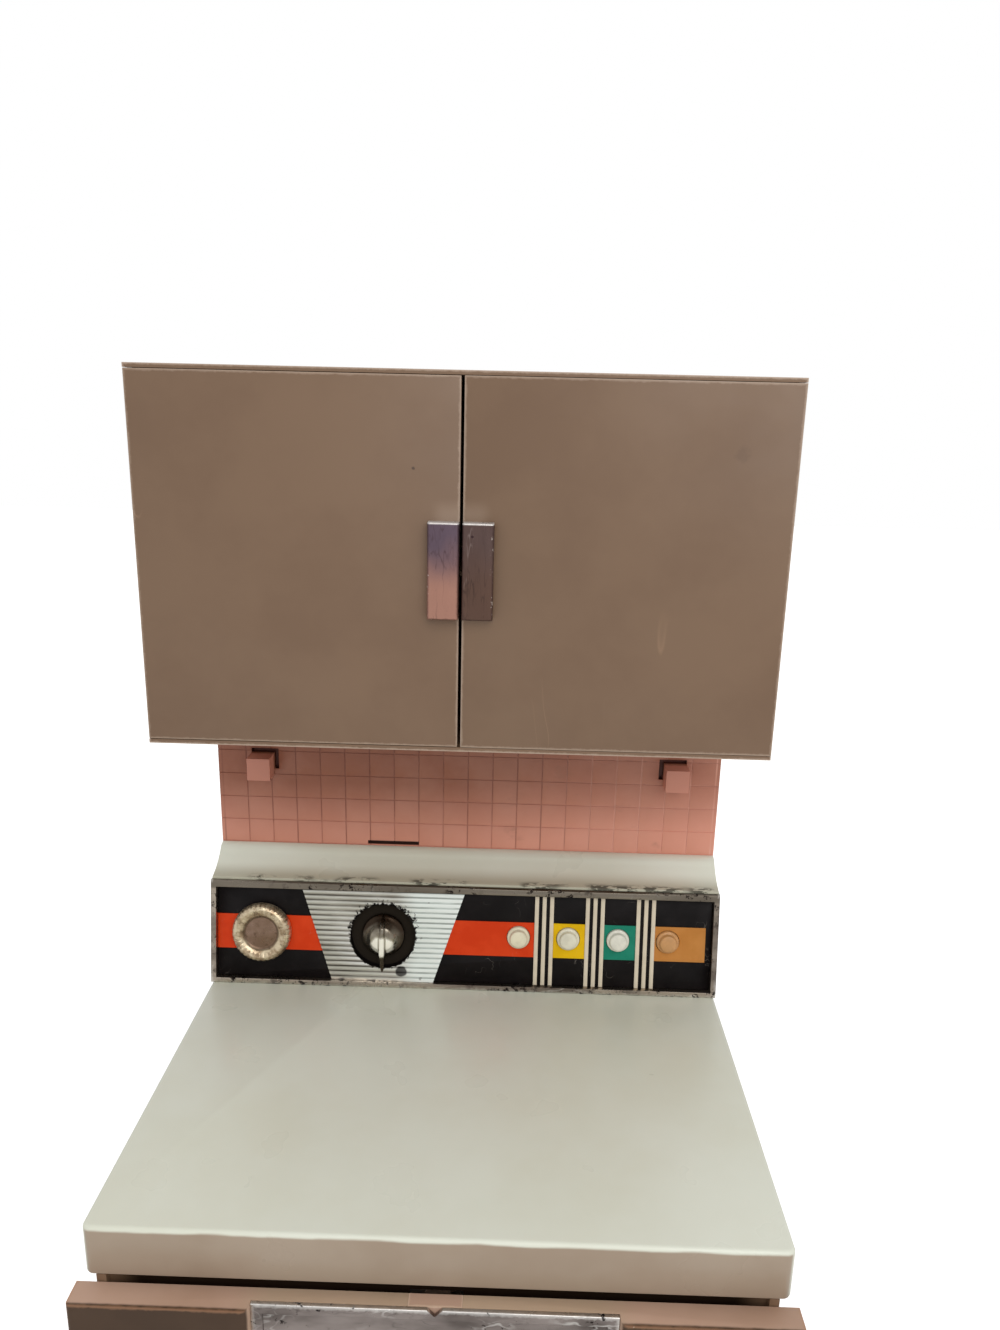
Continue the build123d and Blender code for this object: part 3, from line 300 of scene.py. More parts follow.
# %% Placing a group, and the start and end of every finish
def use(tree, group, *values):
    """Places a shader group, feeds its inputs in order and returns its one output."""
    return put(tree, "ShaderNodeGroup", dict(enumerate(values)), node_tree=group).outputs[0]


def worn_and_lit_edges(tree, place, node, width, scale=400.0):
    """A mask of the edges of a piece, for edge wear and for painted edge highlights."""
    low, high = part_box(node)
    return use(tree, edge_band_group, place, tuple(low), tuple(high), width, scale)


def start_finish(name):
    """A new material: itself, its tree, its shader and the piece's own coordinates."""
    material = bpy.data.materials.new(name)
    material.use_nodes = True
    tree = material.node_tree
    place = put(tree, "ShaderNodeTexCoord").outputs["Object"]
    return material, tree, tree.nodes["Principled BSDF"], place


def dress(tree, shader, color, roughness, height, strength, depth, metal=0.0, shine=0.5):
    """Feeds a shader all that a finish sets, with a height turned into small relief."""
    bump = put(tree, "ShaderNodeBump", {"Height": height, "Strength": strength, "Distance": depth})
    feeds = {"Base Color": color, "Roughness": roughness, "Metallic": metal, "Specular IOR Level": shine,
             "Normal": bump.outputs["Normal"]}
    for name, value in feeds.items():
        feed(tree, shader.inputs[name], value)


def moulded(name, base, tint, worn_and_lit_edge_tint=None, node=None, cloud=25.0, clouding=0.6, gloss=0.42, speck=0.0,
            speck_dark=(40, 28, 20), scuff=0.0, edge_band_width=0.6 * MM, stain_and_painted_light=None):
    """Aged moulded plastic: two clouded tints, scratches, specks, edge wear and painted edge highlights, and its
    own stains, painted shade and painted highlights.
    """
    material, tree, shader, place = start_finish(name)
    color = use(tree, clouds, place, base, tint, cloud, clouding)
    pale = tuple(min(255, channel * 1.25 + 12) for channel in base)
    if scuff:
        lines = use(tree, scratches, stretched(tree, place, (1.0, 1.0, 0.25)), 55.0, 0.004, scuff)
        color = blend(tree, times(tree, lines, 0.55), color, pale)
    if speck:
        color = blend(tree, use(tree, specks, place, 70.0, 1.0 - speck, 0.035), color, speck_dark)
        light = use(tree, specks, stretched(tree, place, (1.1, 0.9, 1.0)), 95.0, 1.0 - 1.6 * speck, 0.03)
        color = blend(tree, light, color, pale)
    # edge tint: edge wear on most pieces, a painted highlight on the wall cupboard
    if worn_and_lit_edge_tint:
        color = blend(tree, worn_and_lit_edges(tree, place, node, edge_band_width), color, worn_and_lit_edge_tint)
    shine = 0.5
    if stain_and_painted_light:
        # the hook paints real stains, painted shade and painted highlights
        color, grime_and_shade = stain_and_painted_light(tree, place, color)
        shine = ramp(tree, grime_and_shade, 0.0, 1.0, shine, 0.0)
    grain = noise(tree, place, 1400.0, 2.0)
    swell = noise(tree, place, 28.0, 1.0)
    height = plus(tree, times(tree, swell, 0.6), times(tree, grain, 0.03))
    patches = patchy(tree, place, 45.0, gloss - 0.07, gloss + 0.09)
    dress(tree, shader, color, patches, height, 0.35, 0.6 * MM, shine=shine)
    return material


print("finish helpers ready")

# %% [markdown]
# The wall cupboard, the lower cabinet and the back are one taupe plastic, faded unevenly. The
# counter and the console shell are cream, with a greenish cast, yellowed in soft clouds.
# A stain is a function that takes the colour so far and gives it back with its marks on it, which are real stains,
# painted shade and painted highlights, and with a mask of how far they dull the gloss.

# %% Stains and a painted glow on the doors of the wall cupboard
TAUPE, TAUPE_SHADE, TAUPE_RUBBED_AND_GLOW = (125, 99, 77), (116, 90, 69), (172, 150, 132)
# the colour of the painted highlight on the cupboard's lips
TAUPE_LIP_HIGHLIGHT = (190, 168, 150)
LEAF_MARKS = [                  # across, up, radius, strength and colour
    (-12.9 * MM, 335.2 * MM, 0.5 * MM, 0.85, (60, 40, 30)),
    (73.7 * MM, 340.8 * MM, 2.0 * MM, 0.3, (92, 70, 54)),
]
PULL_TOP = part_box("left_handle")[1][2]
GLOW_FULL = PULL_TOP + 0.8 * MM, PULL_TOP + 1.5 * MM
GLOW_RISE = 5.0 * MM
GLOW_HALF = 9.0 * MM


def leaf_marks_and_glow(tree, place, color):
    """A dark dot on one door, a smudge on the other, and a painted highlight: a pale glow over the pulls."""
    part = axes(tree, place)
    ragged = times(tree, noise(tree, place, 420.0, 4.0, 0.7), 2.0)
    for x, z, radius, strength, tint in LEAF_MARKS:
        away = length(tree, minus(tree, part[0], x), minus(tree, part[2], z))
        spot = ramp(tree, plus(tree, calc(tree, "DIVIDE", away, radius), ragged), 2.3, 1.5)
        color = blend(tree, times(tree, spot, strength), color, tint)
    # painted highlight: a pale glow on the doors just above the pulls
    rise = within(tree, part[2], *GLOW_FULL, GLOW_RISE)
    near = ramp(tree, calc(tree, "ABSOLUTE", part[0]), GLOW_HALF, 0.5 * GLOW_HALF)
    return blend(tree, times(tree, rise, near, 0.3), color, TAUPE_RUBBED_AND_GLOW), 0.0


print("marks on the wall doors:", len(LEAF_MARKS))

# %% Painted shade on the lower cabinet and the counter
# dark colour of painted shade in slots and holes, also used for the cove's dirt flecks
DARK_SHADE_AND_GRIME = (26, 17, 13)
BEIGE, BEIGE_SHADE = (172, 155, 137), (162, 143, 124)
SLOT_ENDS = COUNTER_HIGH[0] - 4 * MM, COUNTER_HIGH[0] - 14 * MM     # unshaded outside, painted shade inside
SLOT_LEVEL = COUNTER_LOW[2] - 10 * MM, COUNTER_LOW[2] + 2 * MM
SLOT_DEPTH = COUNTER_LOW[1] + 8 * MM, COUNTER_LOW[1] + 6 * MM       # unshaded behind, painted shade before
SKIRT_SHADED = COUNTER_LOW[1] + 0.9 * MM, COUNTER_LOW[1] + 0.2 * MM
RIM_UNSHADED = COUNTER_HIGH[2] - 0.5 * MM, COUNTER_HIGH[2] - 1.3 * MM  # cream above, beige below
RIM_WAVER = 1.2 * MM


def cabinet_slot_shade(tree, place, color):
    """Painted shade on the header, deep in the slot between the counter and the door."""
    part = axes(tree, place)
    inside = ramp(tree, calc(tree, "ABSOLUTE", part[0]), *SLOT_ENDS)
    mask = times(tree, inside, within(tree, part[2], *SLOT_LEVEL, MM), ramp(tree, part[1], *SLOT_DEPTH))
    # painted shade: the header in the slot is darkened as if in shadow
    return blend(tree, times(tree, mask, 0.95), color, DARK_SHADE_AND_GRIME), mask


def counter_front_shade(tree, place, color):
    """Painted shade: the counter's skirt is tinted a darker beige under the rounded rim, where it is shaded and
    takes a tan reflection from the door below.
    """
    part = axes(tree, place)
    wavy = times(tree, minus(tree, noise(tree, place, 60.0), 0.5), RIM_WAVER)
    under = ramp(tree, plus(tree, part[2], wavy), *RIM_UNSHADED)
    # painted shade on the counter's front face
    mask = times(tree, ramp(tree, part[1], *SKIRT_SHADED), under)
    beige = use(tree, clouds, place, BEIGE, BEIGE_SHADE, 22.0, 0.9)
    return blend(tree, mask, color, beige), times(tree, mask, 0.3)


print("counter's front at", round(COUNTER_LOW[1], 4))

# %% The plain plastics
CREAM, CREAM_SHADE = (228, 231, 217), (221, 222, 204)
TAUPE_LOOK = dict(base=TAUPE, tint=TAUPE_SHADE, clouding=0.7, speck=0.05)
CREAM_LOOK = dict(base=CREAM, tint=CREAM_SHADE, cloud=18.0, clouding=0.7, gloss=0.33, speck=0.02,
                  speck_dark=(120, 104, 84))
taupe = moulded("taupe_plastic", scuff=0.25, **TAUPE_LOOK)
cabinet_taupe = moulded("lower_cabinet_plastic", stain_and_painted_light=cabinet_slot_shade, **TAUPE_LOOK)
# painted highlight on the cupboard's lips and edges, together with some edge wear
upper_taupe = moulded("upper_cabinet_plastic", worn_and_lit_edge_tint=TAUPE_LIP_HIGHLIGHT, node="wall_cabinet", scuff=0.25,
                      **TAUPE_LOOK)
leaf_taupe = {}
for leaf in ("left_leaf", "right_leaf"):
    leaf_taupe[leaf] = moulded(leaf + "_plastic", TAUPE, TAUPE_SHADE, TAUPE_RUBBED_AND_GLOW, leaf, clouding=0.75,
                               speck=0.08, scuff=0.3, edge_band_width=0.7 * MM, stain_and_painted_light=leaf_marks_and_glow)
counter_cream = moulded("counter_plastic", stain_and_painted_light=counter_front_shade, **CREAM_LOOK)
print("plain plastics:", taupe.name, counter_cream.name)

# %% [markdown]
# The lower door is a pinker tan, dark brown on its outer face. How far a point lies behind the door's front tells
# the two apart, so the mask follows the depth.

# %% The lower door
TAN, TAN_SHADE, TAN_RUBBED, TAN_MIDDLE = (190, 157, 137), (176, 143, 121), (178, 132, 100), (176, 160, 132)
DOOR_BROWN, DOOR_BROWN_SHADE = (78, 58, 42), (66, 48, 34)
DOOR_CHIP = (222, 200, 180)
DOOR_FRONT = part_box("lower_door")[0][1]
BROWN_DEPTH = DOOR_FRONT + 1.5 * MM, DOOR_FRONT + 0.7 * MM  # tan behind, brown before
BROWN_RAGGED = 0.4 * MM
MIDDLE_HALF = (52 * MM, 40 * MM)    # half widths of the duller stretch of its top edge


def door_face():
    """Tan plastic whose outer face is a darker brown than its edges."""
    material, tree, shader, place = start_finish("lower_door_plastic")
    part = axes(tree, place)
    uneven = plus(tree, part[1], times(tree, noise(tree, place, 300.0), BROWN_RAGGED))
    face = ramp(tree, uneven, *BROWN_DEPTH)
    color = blend(tree, face, use(tree, clouds, place, TAN, TAN_SHADE, 22.0, 0.8),
                  use(tree, clouds, place, DOOR_BROWN, DOOR_BROWN_SHADE, 26.0, 0.8))
    edges = worn_and_lit_edges(tree, place, "lower_door", 0.7 * MM)
    color = blend(tree, times(tree, edges, 0.55), color, TAN_RUBBED)
    middle = ramp(tree, calc(tree, "ABSOLUTE", part[0]), *MIDDLE_HALF, 0.0, 0.45)
    color = blend(tree, times(tree, middle, minus(tree, 1.0, face)), color, TAN_MIDDLE)
    color = blend(tree, use(tree, specks, place, 120.0, 0.9, 0.08), color, DOOR_CHIP)
    height = noise(tree, place, 30.0, 1.0)
    dress(tree, shader, color, patchy(tree, place, 50.0, 0.36, 0.5), height, 0.3, 0.6 * MM, shine=0.3)
    return material


print("lower door finish")

# %% [markdown]
# The splashback is one pink moulding with tile lines pressed into it. On the real piece the lines have caught dirt
# on the left and stay pale on the right, and none is the same strength all along. The lines are in the model, so
# the finish only has to tint them: the distance from the nearest line is worked out from the tile size. The pink
# carries painted shade, darker towards the top under the cupboard and towards the left, its slots are painted dark
# as painted shade, and the pegs' fronts are painted paler as lit faces.

# %% The tiles
TILE = 8.77 * MM
TILE_LINE = 0.34 * MM
TILE_FOOT = 197.0 * MM
ROW_SHIFT = 0.2 * MM            # rows of lines, above the board's foot
TILE_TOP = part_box("wall_cabinet")[0][2]
TOP_FADE = 0.5 * MM
TILE_LIGHT, TILE_PALER, TILE_DARK = (224, 152, 130), (240, 190, 170), (150, 90, 66)
LINE_DIRTY, LINE_PALE, SMEAR = (128, 68, 52), (232, 178, 160), (140, 95, 76)
# peg fronts painted as lit faces, and red painted shade in the peg slots
PEG_LIT_PINK, RED_SLOT_SHADE = (206, 138, 118), (84, 36, 26)
FACE_REACH = BOARD_FACE - 0.3 * MM, BOARD_FACE + 0.25 * MM
PALE_SIDE = (20 * MM, 55 * MM)      # dirty left of the first, pale right of the second
# painted shade: the pink darkens towards the top, under the cupboard, and towards the left
DARKER_UP = TILE_FOOT - 4 * MM, TILE_TOP - 26 * MM
DARKER_LEFT = (60 * MM, -20 * MM)
SMEAR_LEFT, SMEAR_RIGHT = (-20 * MM, 40 * MM), (85 * MM, 60 * MM)
SLOT_WALLS = BOARD_FACE + 0.5 * MM, BOARD_BACK - 0.3 * MM
BOARD_ENDS = COUNTER_HIGH[0] - 1.0 * MM, COUNTER_HIGH[0] - 1.5 * MM
SLIT_TOP = TILE_FOOT + 12 * MM, TILE_FOOT + 14 * MM     # dark below, red by the pegs
PEG_FRONT = BOARD_FACE - 0.6 * MM, BOARD_FACE - 1.6 * MM


def tiles():
    """Pink plastic with tile lines that are dark to the left and pale to the right, painted shade towards the top,
    the left and in the slots, and painted light on the pegs' fronts.
    """
    material, tree, shader, place = start_finish("pink_tiles")
    part = axes(tree, place)
    across = calc(tree, "PINGPONG", part[0], TILE / 2)
    along = calc(tree, "PINGPONG", minus(tree, part[2], TILE_FOOT + ROW_SHIFT), TILE / 2)
    column = ramp(tree, across, TILE_LINE, 0.5 * TILE_LINE)
    row = ramp(tree, along, TILE_LINE, 0.5 * TILE_LINE, 0.0, 0.4)
    dirt = ramp(tree, noise(tree, place, 60.0), 0.34, 0.62, 0.25, 0.95)
    face = within(tree, part[1], *FACE_REACH)
    region = times(tree, face, ramp(tree, part[2], TILE_TOP + TOP_FADE, TILE_TOP))
    lines = times(tree, calc(tree, "MAXIMUM", column, row), dirt, region)
    line_color = blend(tree, ramp(tree, part[0], *PALE_SIDE), LINE_DIRTY, LINE_PALE)
    # painted shade under the cupboard and towards the left
    upward, leftward = ramp(tree, part[2], *DARKER_UP), ramp(tree, part[0], *DARKER_LEFT, -0.25, 0.15)
    shade = plus(tree, upward, leftward, clamp=True)
    shaded_pink = blend(tree, shade, TILE_LIGHT, TILE_DARK)
    color = use(tree, clouds, place, shaded_pink, blend(tree, 0.12, shaded_pink, TILE_PALER), 40.0, 0.8)
    smear = ramp(tree, noise(tree, stretched(tree, place, (1.0, 1.0, 1.6)), 48.0, 4.0, 0.65), 0.56, 0.72)
    where = times(tree, ramp(tree, part[0], *SMEAR_LEFT), ramp(tree, part[0], *SMEAR_RIGHT), region)
    color = blend(tree, times(tree, smear, where, 0.5), color, SMEAR)
    color = blend(tree, times(tree, lines, 0.5), color, line_color)
    # painted shade: dark inside the peg slots and the slit
    deep = within(tree, part[1], *SLOT_WALLS)
    inside = ramp(tree, calc(tree, "ABSOLUTE", part[0]), *BOARD_ENDS)
    board_slot_shade = times(tree, deep, inside, within(tree, part[2], TILE_FOOT, TILE_TOP))
    slot_shade_color = blend(tree, ramp(tree, part[2], *SLIT_TOP), DARK_SHADE_AND_GRIME, RED_SLOT_SHADE)
    color = blend(tree, times(tree, board_slot_shade, 0.9), color, slot_shade_color)
    # painted light: the pegs' fronts kept a paler pink, as lit faces
    color = blend(tree, ramp(tree, part[1], *PEG_FRONT, 0.0, 0.85), color, PEG_LIT_PINK)
    dress(tree, shader, color, 0.4, noise(tree, place, 35.0, 2.0), 0.3, 0.5 * MM)
    return material


print("tile finish")

# %% [markdown]
# The bright parts are plastic with a thin vacuum-plated skin. It dulls in clouds, it is scratched along its
# length, and where it has flaked off there are patches of dark ragged pits. Metal looks flat under even light, so
# its own colour carries the clouds and streaks, darkened to stand in for the room it would reflect: a painted
# reflection over the real dulling. Its edges carry a painted highlight.

# %% Worn plating
TOP_STRIP = (3.4 * MM, 2.4 * MM)    # below the top of a piece: its own tint, the darker strip


def plating(name, bright, dull, node=None, grain=(1.0, 1.0, 1.0), rough=0.3, pits=0.5, pit_color=(34, 27, 27),
            scratch=0.4, edge_highlight_and_scratch=(236, 234, 228), metal=1.0, top_tint=None):
    """Vacuum-plated plastic: clouded, streaked and pitted, with a painted highlight along its edges."""
    material, tree, shader, place = start_finish(name)
    drawn = stretched(tree, place, grain)
    # painted reflection: the clouded colour stands in for a darker room, over the real dulling
    color = use(tree, clouds, drawn, bright, dull, 60.0, 0.95)
    streak = use(tree, scratches, drawn, 180.0, 0.02, scratch)
    color = blend(tree, times(tree, streak, 0.6), color, edge_highlight_and_scratch)
    rub = use(tree, scratches, stretched(tree, place, (0.4, 1.0, 1.3)), 240.0, 0.02, scratch)
    color = blend(tree, times(tree, rub, 0.5), color, pit_color)
    if top_tint:
        top_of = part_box(node)[1][2]
        strip = ramp(tree, axes(tree, place)[2], *[top_of - drop for drop in TOP_STRIP], 0.0, 0.75)
        color = blend(tree, strip, color, top_tint)
    if node:
        # painted highlight along the edges
        near = worn_and_lit_edges(tree, place, node, 1.1 * MM, 700.0)
        color = blend(tree, times(tree, near, 0.65), color, edge_highlight_and_scratch)
    pocked = noise(tree, place, 420.0, 4.0, 0.75)
    patches = ramp(tree, noise(tree, place, 90.0, 2.0), 0.4, 0.62)
    flaked = times(tree, ramp(tree, pocked, 0.66 - 0.1 * pits, 0.7 - 0.1 * pits), patches)
    color = blend(tree, flaked, color, pit_color)
    dullness = plus(tree, patchy(tree, drawn, 120.0, rough - 0.1, rough + 0.12), times(tree, flaked, 0.3))
    height = minus(tree, noise(tree, drawn, 160.0), flaked)
    dress(tree, shader, color, dullness, height, 0.4, 0.2 * MM, metal)
    return material


print("worn plating ready")

# %% Tarnished pulls, with a painted reflection
PULL_PALE, PULL_EDGE, PULL_SPOT = (206, 186, 180), (70, 48, 44), (58, 36, 38)
PULL_LIT, PULL_CHIP = (232, 228, 224), (226, 214, 204)
TARNISH_AND_REFLECTION_FROM, TARNISH_AND_REFLECTION_TO = 4 * MM, 7 * MM       # below a pull's top, above its foot
TARNISH_AND_REFLECTION_WAVER = 12 * MM
LIT_STRIP = (0.75 * MM, 0.35 * MM)  # below a pull's top
CHIPPED_PAST = (7.8 * MM, 8.6 * MM)     # the chips lie by the pulls' outer edges


def handle_plating(name, node, upper, lower, dark_bits):
    """Plating whose colour runs from one tint at the top of a pull to another at its foot, as tarnish and a
    painted reflection.
    """
    material, tree, shader, place = start_finish(name)
    low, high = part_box(node)
    part = axes(tree, place)
    # painted reflection with tarnish: the tint falls from the pull's top to its foot
    wobble = times(tree, minus(tree, noise(tree, place, 90.0), 0.5), TARNISH_AND_REFLECTION_WAVER)
    fall = ramp(tree, plus(tree, part[2], wobble), high[2] - TARNISH_AND_REFLECTION_FROM, low[2] + TARNISH_AND_REFLECTION_TO)
    color = blend(tree, fall, upper, lower)
    drawn = stretched(tree, place, (1.6, 1.0, 0.3))
    for scale, tint, share, strength in ((260.0, PULL_PALE, 0.5, 0.35), (330.0, dark_bits, 0.9, 0.55)):
        lines = use(tree, scratches, drawn, scale, 0.03, share)
        color = blend(tree, times(tree, lines, strength), color, tint)
    edges = worn_and_lit_edges(tree, place, node, 0.6 * MM, 900.0)
    color = blend(tree, times(tree, edges, 0.8), color, PULL_EDGE)
    color = blend(tree, use(tree, specks, place, 260.0, 0.86, 0.2), color, PULL_SPOT)
    bright = ramp(tree, part[2], *[high[2] - drop for drop in LIT_STRIP])
    color = blend(tree, times(tree, bright, 0.7), color, PULL_LIT)
    ends = ramp(tree, calc(tree, "ABSOLUTE", part[0]), *CHIPPED_PAST)
    chipped = times(tree, ramp(tree, noise(tree, place, 380.0, 4.0, 0.7), 0.6, 0.64), ends)
    color = blend(tree, times(tree, chipped, 0.5), color, PULL_CHIP)
    height = noise(tree, drawn, 300.0)
    dress(tree, shader, color, patchy(tree, drawn, 200.0, 0.26, 0.5), height, 0.45, 0.3 * MM, 0.55)
    return material


print("tarnished plating ready")

# %% [markdown]
# The ribbed plate behind the cycle knob is silver foil over ribs. Black grime has crept out from the rim of its
# hole, thickest at the top, and there is one round stain below and to the right. Its grooves are darkened as
# painted shade and its crests carry a painted highlight. Distances from the hole are worked out in the leaning
# plane of the console.

# %% The console's plane, read from the knobs' joints
joints = {joint["name"]: joint for joint in frame["joints"]}
FACE_OUT = np.array(joints["cycle_turn"]["axis"])
FACE_UP = np.cross(FACE_OUT, (1.0, 0.0, 0.0))
DIAL_MIDDLE = np.array(joints["cycle_turn"]["pos_m"])
TIMER_MIDDLE = np.array(joints["timer_turn"]["pos_m"])
DIAL_HOLE = 11.4 * MM


def on_console(tree, place, middle):
    """Across and up from a point of the console, in the console's plane."""
    off = vector(tree, "SUBTRACT", place, tuple(middle))
    up = put(tree, "ShaderNodeVectorMath", {0: off, 1: tuple(FACE_UP)}, operation="DOT_PRODUCT")
    return axes(tree, off)[0], up.outputs["Value"]


print("console leans", round(math.degrees(math.asin(FACE_OUT[2])), 1), "degrees")

# %% Painted shade and grime on the console's shell
COVE_FRONT = 51.8 * MM
COVE_SHADE = (176, 172, 150)
COVE_STRIP = COVE_FRONT + 7 * MM, COVE_FRONT + 1 * MM       # unshaded behind, painted shade before
COVE_FLECKS = COVE_FRONT + 2.6 * MM, COVE_FRONT + 0.6 * MM
BEHIND_HOLE = DIAL_HOLE + 2 * MM, DIAL_HOLE + 1 * MM


def shell_shade_and_grime(tree, place, color):
    """Painted shade behind the dial's hole, and a strip of the cove over the frame in painted shade, flecked with
    dirt.
    """
    across, up = on_console(tree, place, DIAL_MIDDLE)
    # painted shade inside the dial's hole
    hole = ramp(tree, length(tree, across, up), *BEHIND_HOLE)
    depth = axes(tree, place)[1]
    # painted shade on the cove's strip over the frame
    strip = ramp(tree, depth, *COVE_STRIP, 0.0, 0.8)
    color = blend(tree, strip, color, COVE_SHADE)
    ragged = noise(tree, stretched(tree, place, (0.35, 1.0, 1.0)), 420.0, 4.0, 0.7)
    line = ramp(tree, depth, *COVE_FLECKS)
    patches = ramp(tree, noise(tree, place, 60.0, 2.0), 0.4, 0.54)
    flecks = times(tree, ramp(tree, ragged, 0.46, 0.53), line, patches, 0.8)
    mask = calc(tree, "MAXIMUM", hole, flecks)
    return blend(tree, times(tree, mask, 0.97), color, DARK_SHADE_AND_GRIME), mask


print("the cove is shaded from", COVE_STRIP[1], "to", COVE_STRIP[0])

# %% The ribbed silver foil
SILVER, SILVER_DULL, SILVER_LIT = (206, 204, 197), (166, 163, 154), (240, 248, 244)
FOIL_GROOVE_SHADE, FOIL_GROOVE_SHADE_ON_LIT, FOIL_CREST_HIGHLIGHT = (112, 106, 96), (158, 164, 158), (250, 252, 248)
FOIL_DUST, FOIL_DIRT = (96, 92, 90), (24, 18, 16)
FOIL_LIT = (3.0 * MM, 13.0 * MM)    # across: in shade, lit
RIB_COUNT = 18
RIB_PITCH = 32.9 * MM / RIB_COUNT
RIB_START = -16.3 * MM              # lowest rib's foot, below the middle of the dial's hole
RIB_SHARE = 0.7                     # of the pitch, before the groove
CREST_HIGHLIGHT_SPAN = (0.3, 0.45)                 # of the pitch
GRIME_UP = (-2 * MM, 9 * MM)        # thin below the first, thick over the second
GRIME_REACH = 2.6 * MM
GRIME_PAST = 0.15 * MM              # grimy all round, past the hole's rim
STAIN = (6.6 * MM, -12.6 * MM)
STAIN_EDGE = (2.9 * MM, 2.3 * MM)
STAIN_RAGGED = 1.2 * MM


def foil():
    """Silver foil with black grime round the hole and a stain, painted shade in its grooves and a painted
    highlight on its crests.
    """
    material, tree, shader, place = start_finish("ribbed_silver_foil")
    across, up = on_console(tree, place, DIAL_MIDDLE)
    flat = stretched(tree, place, (0.35, 1.0, 1.0))
    lit = ramp(tree, across, *FOIL_LIT)
    ragged = noise(tree, place, 650.0, 4.0, 0.75)
    reach = times(tree, ramp(tree, ragged, 0.42, 0.66), ramp(tree, up, *GRIME_UP, 0.25, 1.0), GRIME_REACH)
    past = minus(tree, length(tree, across, up), DIAL_HOLE + GRIME_PAST)
    spot = length(tree, minus(tree, across, STAIN[0]), minus(tree, up, STAIN[1]))
    spot = ramp(tree, plus(tree, spot, times(tree, ragged, STAIN_RAGGED)), *STAIN_EDGE)
    dirt = calc(tree, "MAXIMUM", calc(tree, "LESS_THAN", past, reach), times(tree, spot, 0.85))
    color = use(tree, clouds, flat, SILVER, SILVER_DULL, 140.0, 0.9)
    color = blend(tree, lit, color, SILVER_LIT)
    turn = calc(tree, "FRACT", calc(tree, "DIVIDE", minus(tree, up, RIB_START), RIB_PITCH))
    uneven = ramp(tree, noise(tree, stretched(tree, place, (0.3, 1.0, 1.0)), 260.0), 0.3, 0.65, 0.35, 0.8)
    # painted shade in the grooves between the ribs
    groove = times(tree, within(tree, turn, RIB_SHARE, 1.0, 0.06), uneven)
    color = blend(tree, groove, color, blend(tree, lit, FOIL_GROOVE_SHADE, FOIL_GROOVE_SHADE_ON_LIT))
    # painted highlight on the crests of the ribs
    color = blend(tree, times(tree, within(tree, turn, *CREST_HIGHLIGHT_SPAN, 0.12), 0.4), color, FOIL_CREST_HIGHLIGHT)
    dusty = use(tree, specks, place, 420.0, 0.9, 0.25)
    color = blend(tree, times(tree, dusty, 0.5), color, FOIL_DUST)
    color = blend(tree, dirt, color, FOIL_DIRT)
    dullness, metal = ramp(tree, dirt, 0.0, 1.0, 0.3, 0.85), ramp(tree, lit, 0.0, 1.0, 0.85, 0.25)
    dress(tree, shader, color, dullness, plus(tree, ragged, dirt), 0.25, 0.2 * MM, metal)
    return material


print("foil ribs every", round(RIB_PITCH / MM, 3), "mm")

# %% Printed colours and inner finishes
HAIRLINE = (190, 180, 170)


def printed(name, color, gloss=0.38):
    """Flat printed colour, a little uneven, with hairline scratches."""
    material, tree, shader, place = start_finish(name)
    faded = tuple(min(255, channel + 14) for channel in color)
    mixed = use(tree, clouds, place, color, faded, 130.0, 0.6)
    mixed = blend(tree, times(tree, use(tree, scratches, place, 190.0, 0.006, 0.4), 0.3), mixed, HAIRLINE)
    dress(tree, shader, mixed, patchy(tree, place, 150.0, gloss - 0.08, gloss + 0.1),
          noise(tree, place, 400.0, 2.0), 0.2, 0.1 * MM, shine=0.15)
    return material


def plain(name, color, rough=0.5, metal=0.0, clouding=0.7):
    """A simple inner finish: two close tints and a soft grain."""
    material, tree, shader, place = start_finish(name)
    darker = tuple(int(channel * 0.86) for channel in color)
    mixed = use(tree, clouds, place, color, darker, 80.0, clouding)
    dress(tree, shader, mixed, patchy(tree, place, 90.0, rough - 0.08, rough + 0.08),
          noise(tree, place, 700.0, 2.0), 0.2, 0.2 * MM, metal)
    return material


print("print and inner finishes ready")

# %% [markdown]
# Hard edges give a computer model away: real mouldings are rounded by a few tenths of a
# millimetre, and that thin round catches the light. Each visible shell is a merged copy of
# its solid with a narrow bevel, which stands for the solid and moves with the same body.

# %% Rounded copies of the solid shells
SAME_POINT = 0.004 * MM
FLAT_WITHIN = math.radians(0.6)
EDGE_OVER = math.radians(38)
EDGE_STEPS = 2


def rounded(node, width, material):
    """A copy of a solid with its flat faces joined and its edges rounded, in place of the solid."""
    mesh = frame["nodes"][node].data.copy()
    work = bmesh.new()
    work.from_mesh(mesh)
    bmesh.ops.remove_doubles(work, verts=work.verts, dist=SAME_POINT)
    bmesh.ops.dissolve_limit(work, angle_limit=FLAT_WITHIN, verts=work.verts, edges=work.edges)
    work.to_mesh(mesh)
    work.free()
    mesh.materials.clear()
    mesh.materials.append(material)
    mesh.shade_smooth()
    piece = add(node + "_shell", mesh)
    bevel = piece.modifiers.new("edges", "BEVEL")
    bevel.width = width
    bevel.segments = EDGE_STEPS
    bevel.limit_method = "ANGLE"
    bevel.angle_limit = EDGE_OVER
    bevel.harden_normals = True
    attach(piece, body_of[node])
    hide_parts(node)


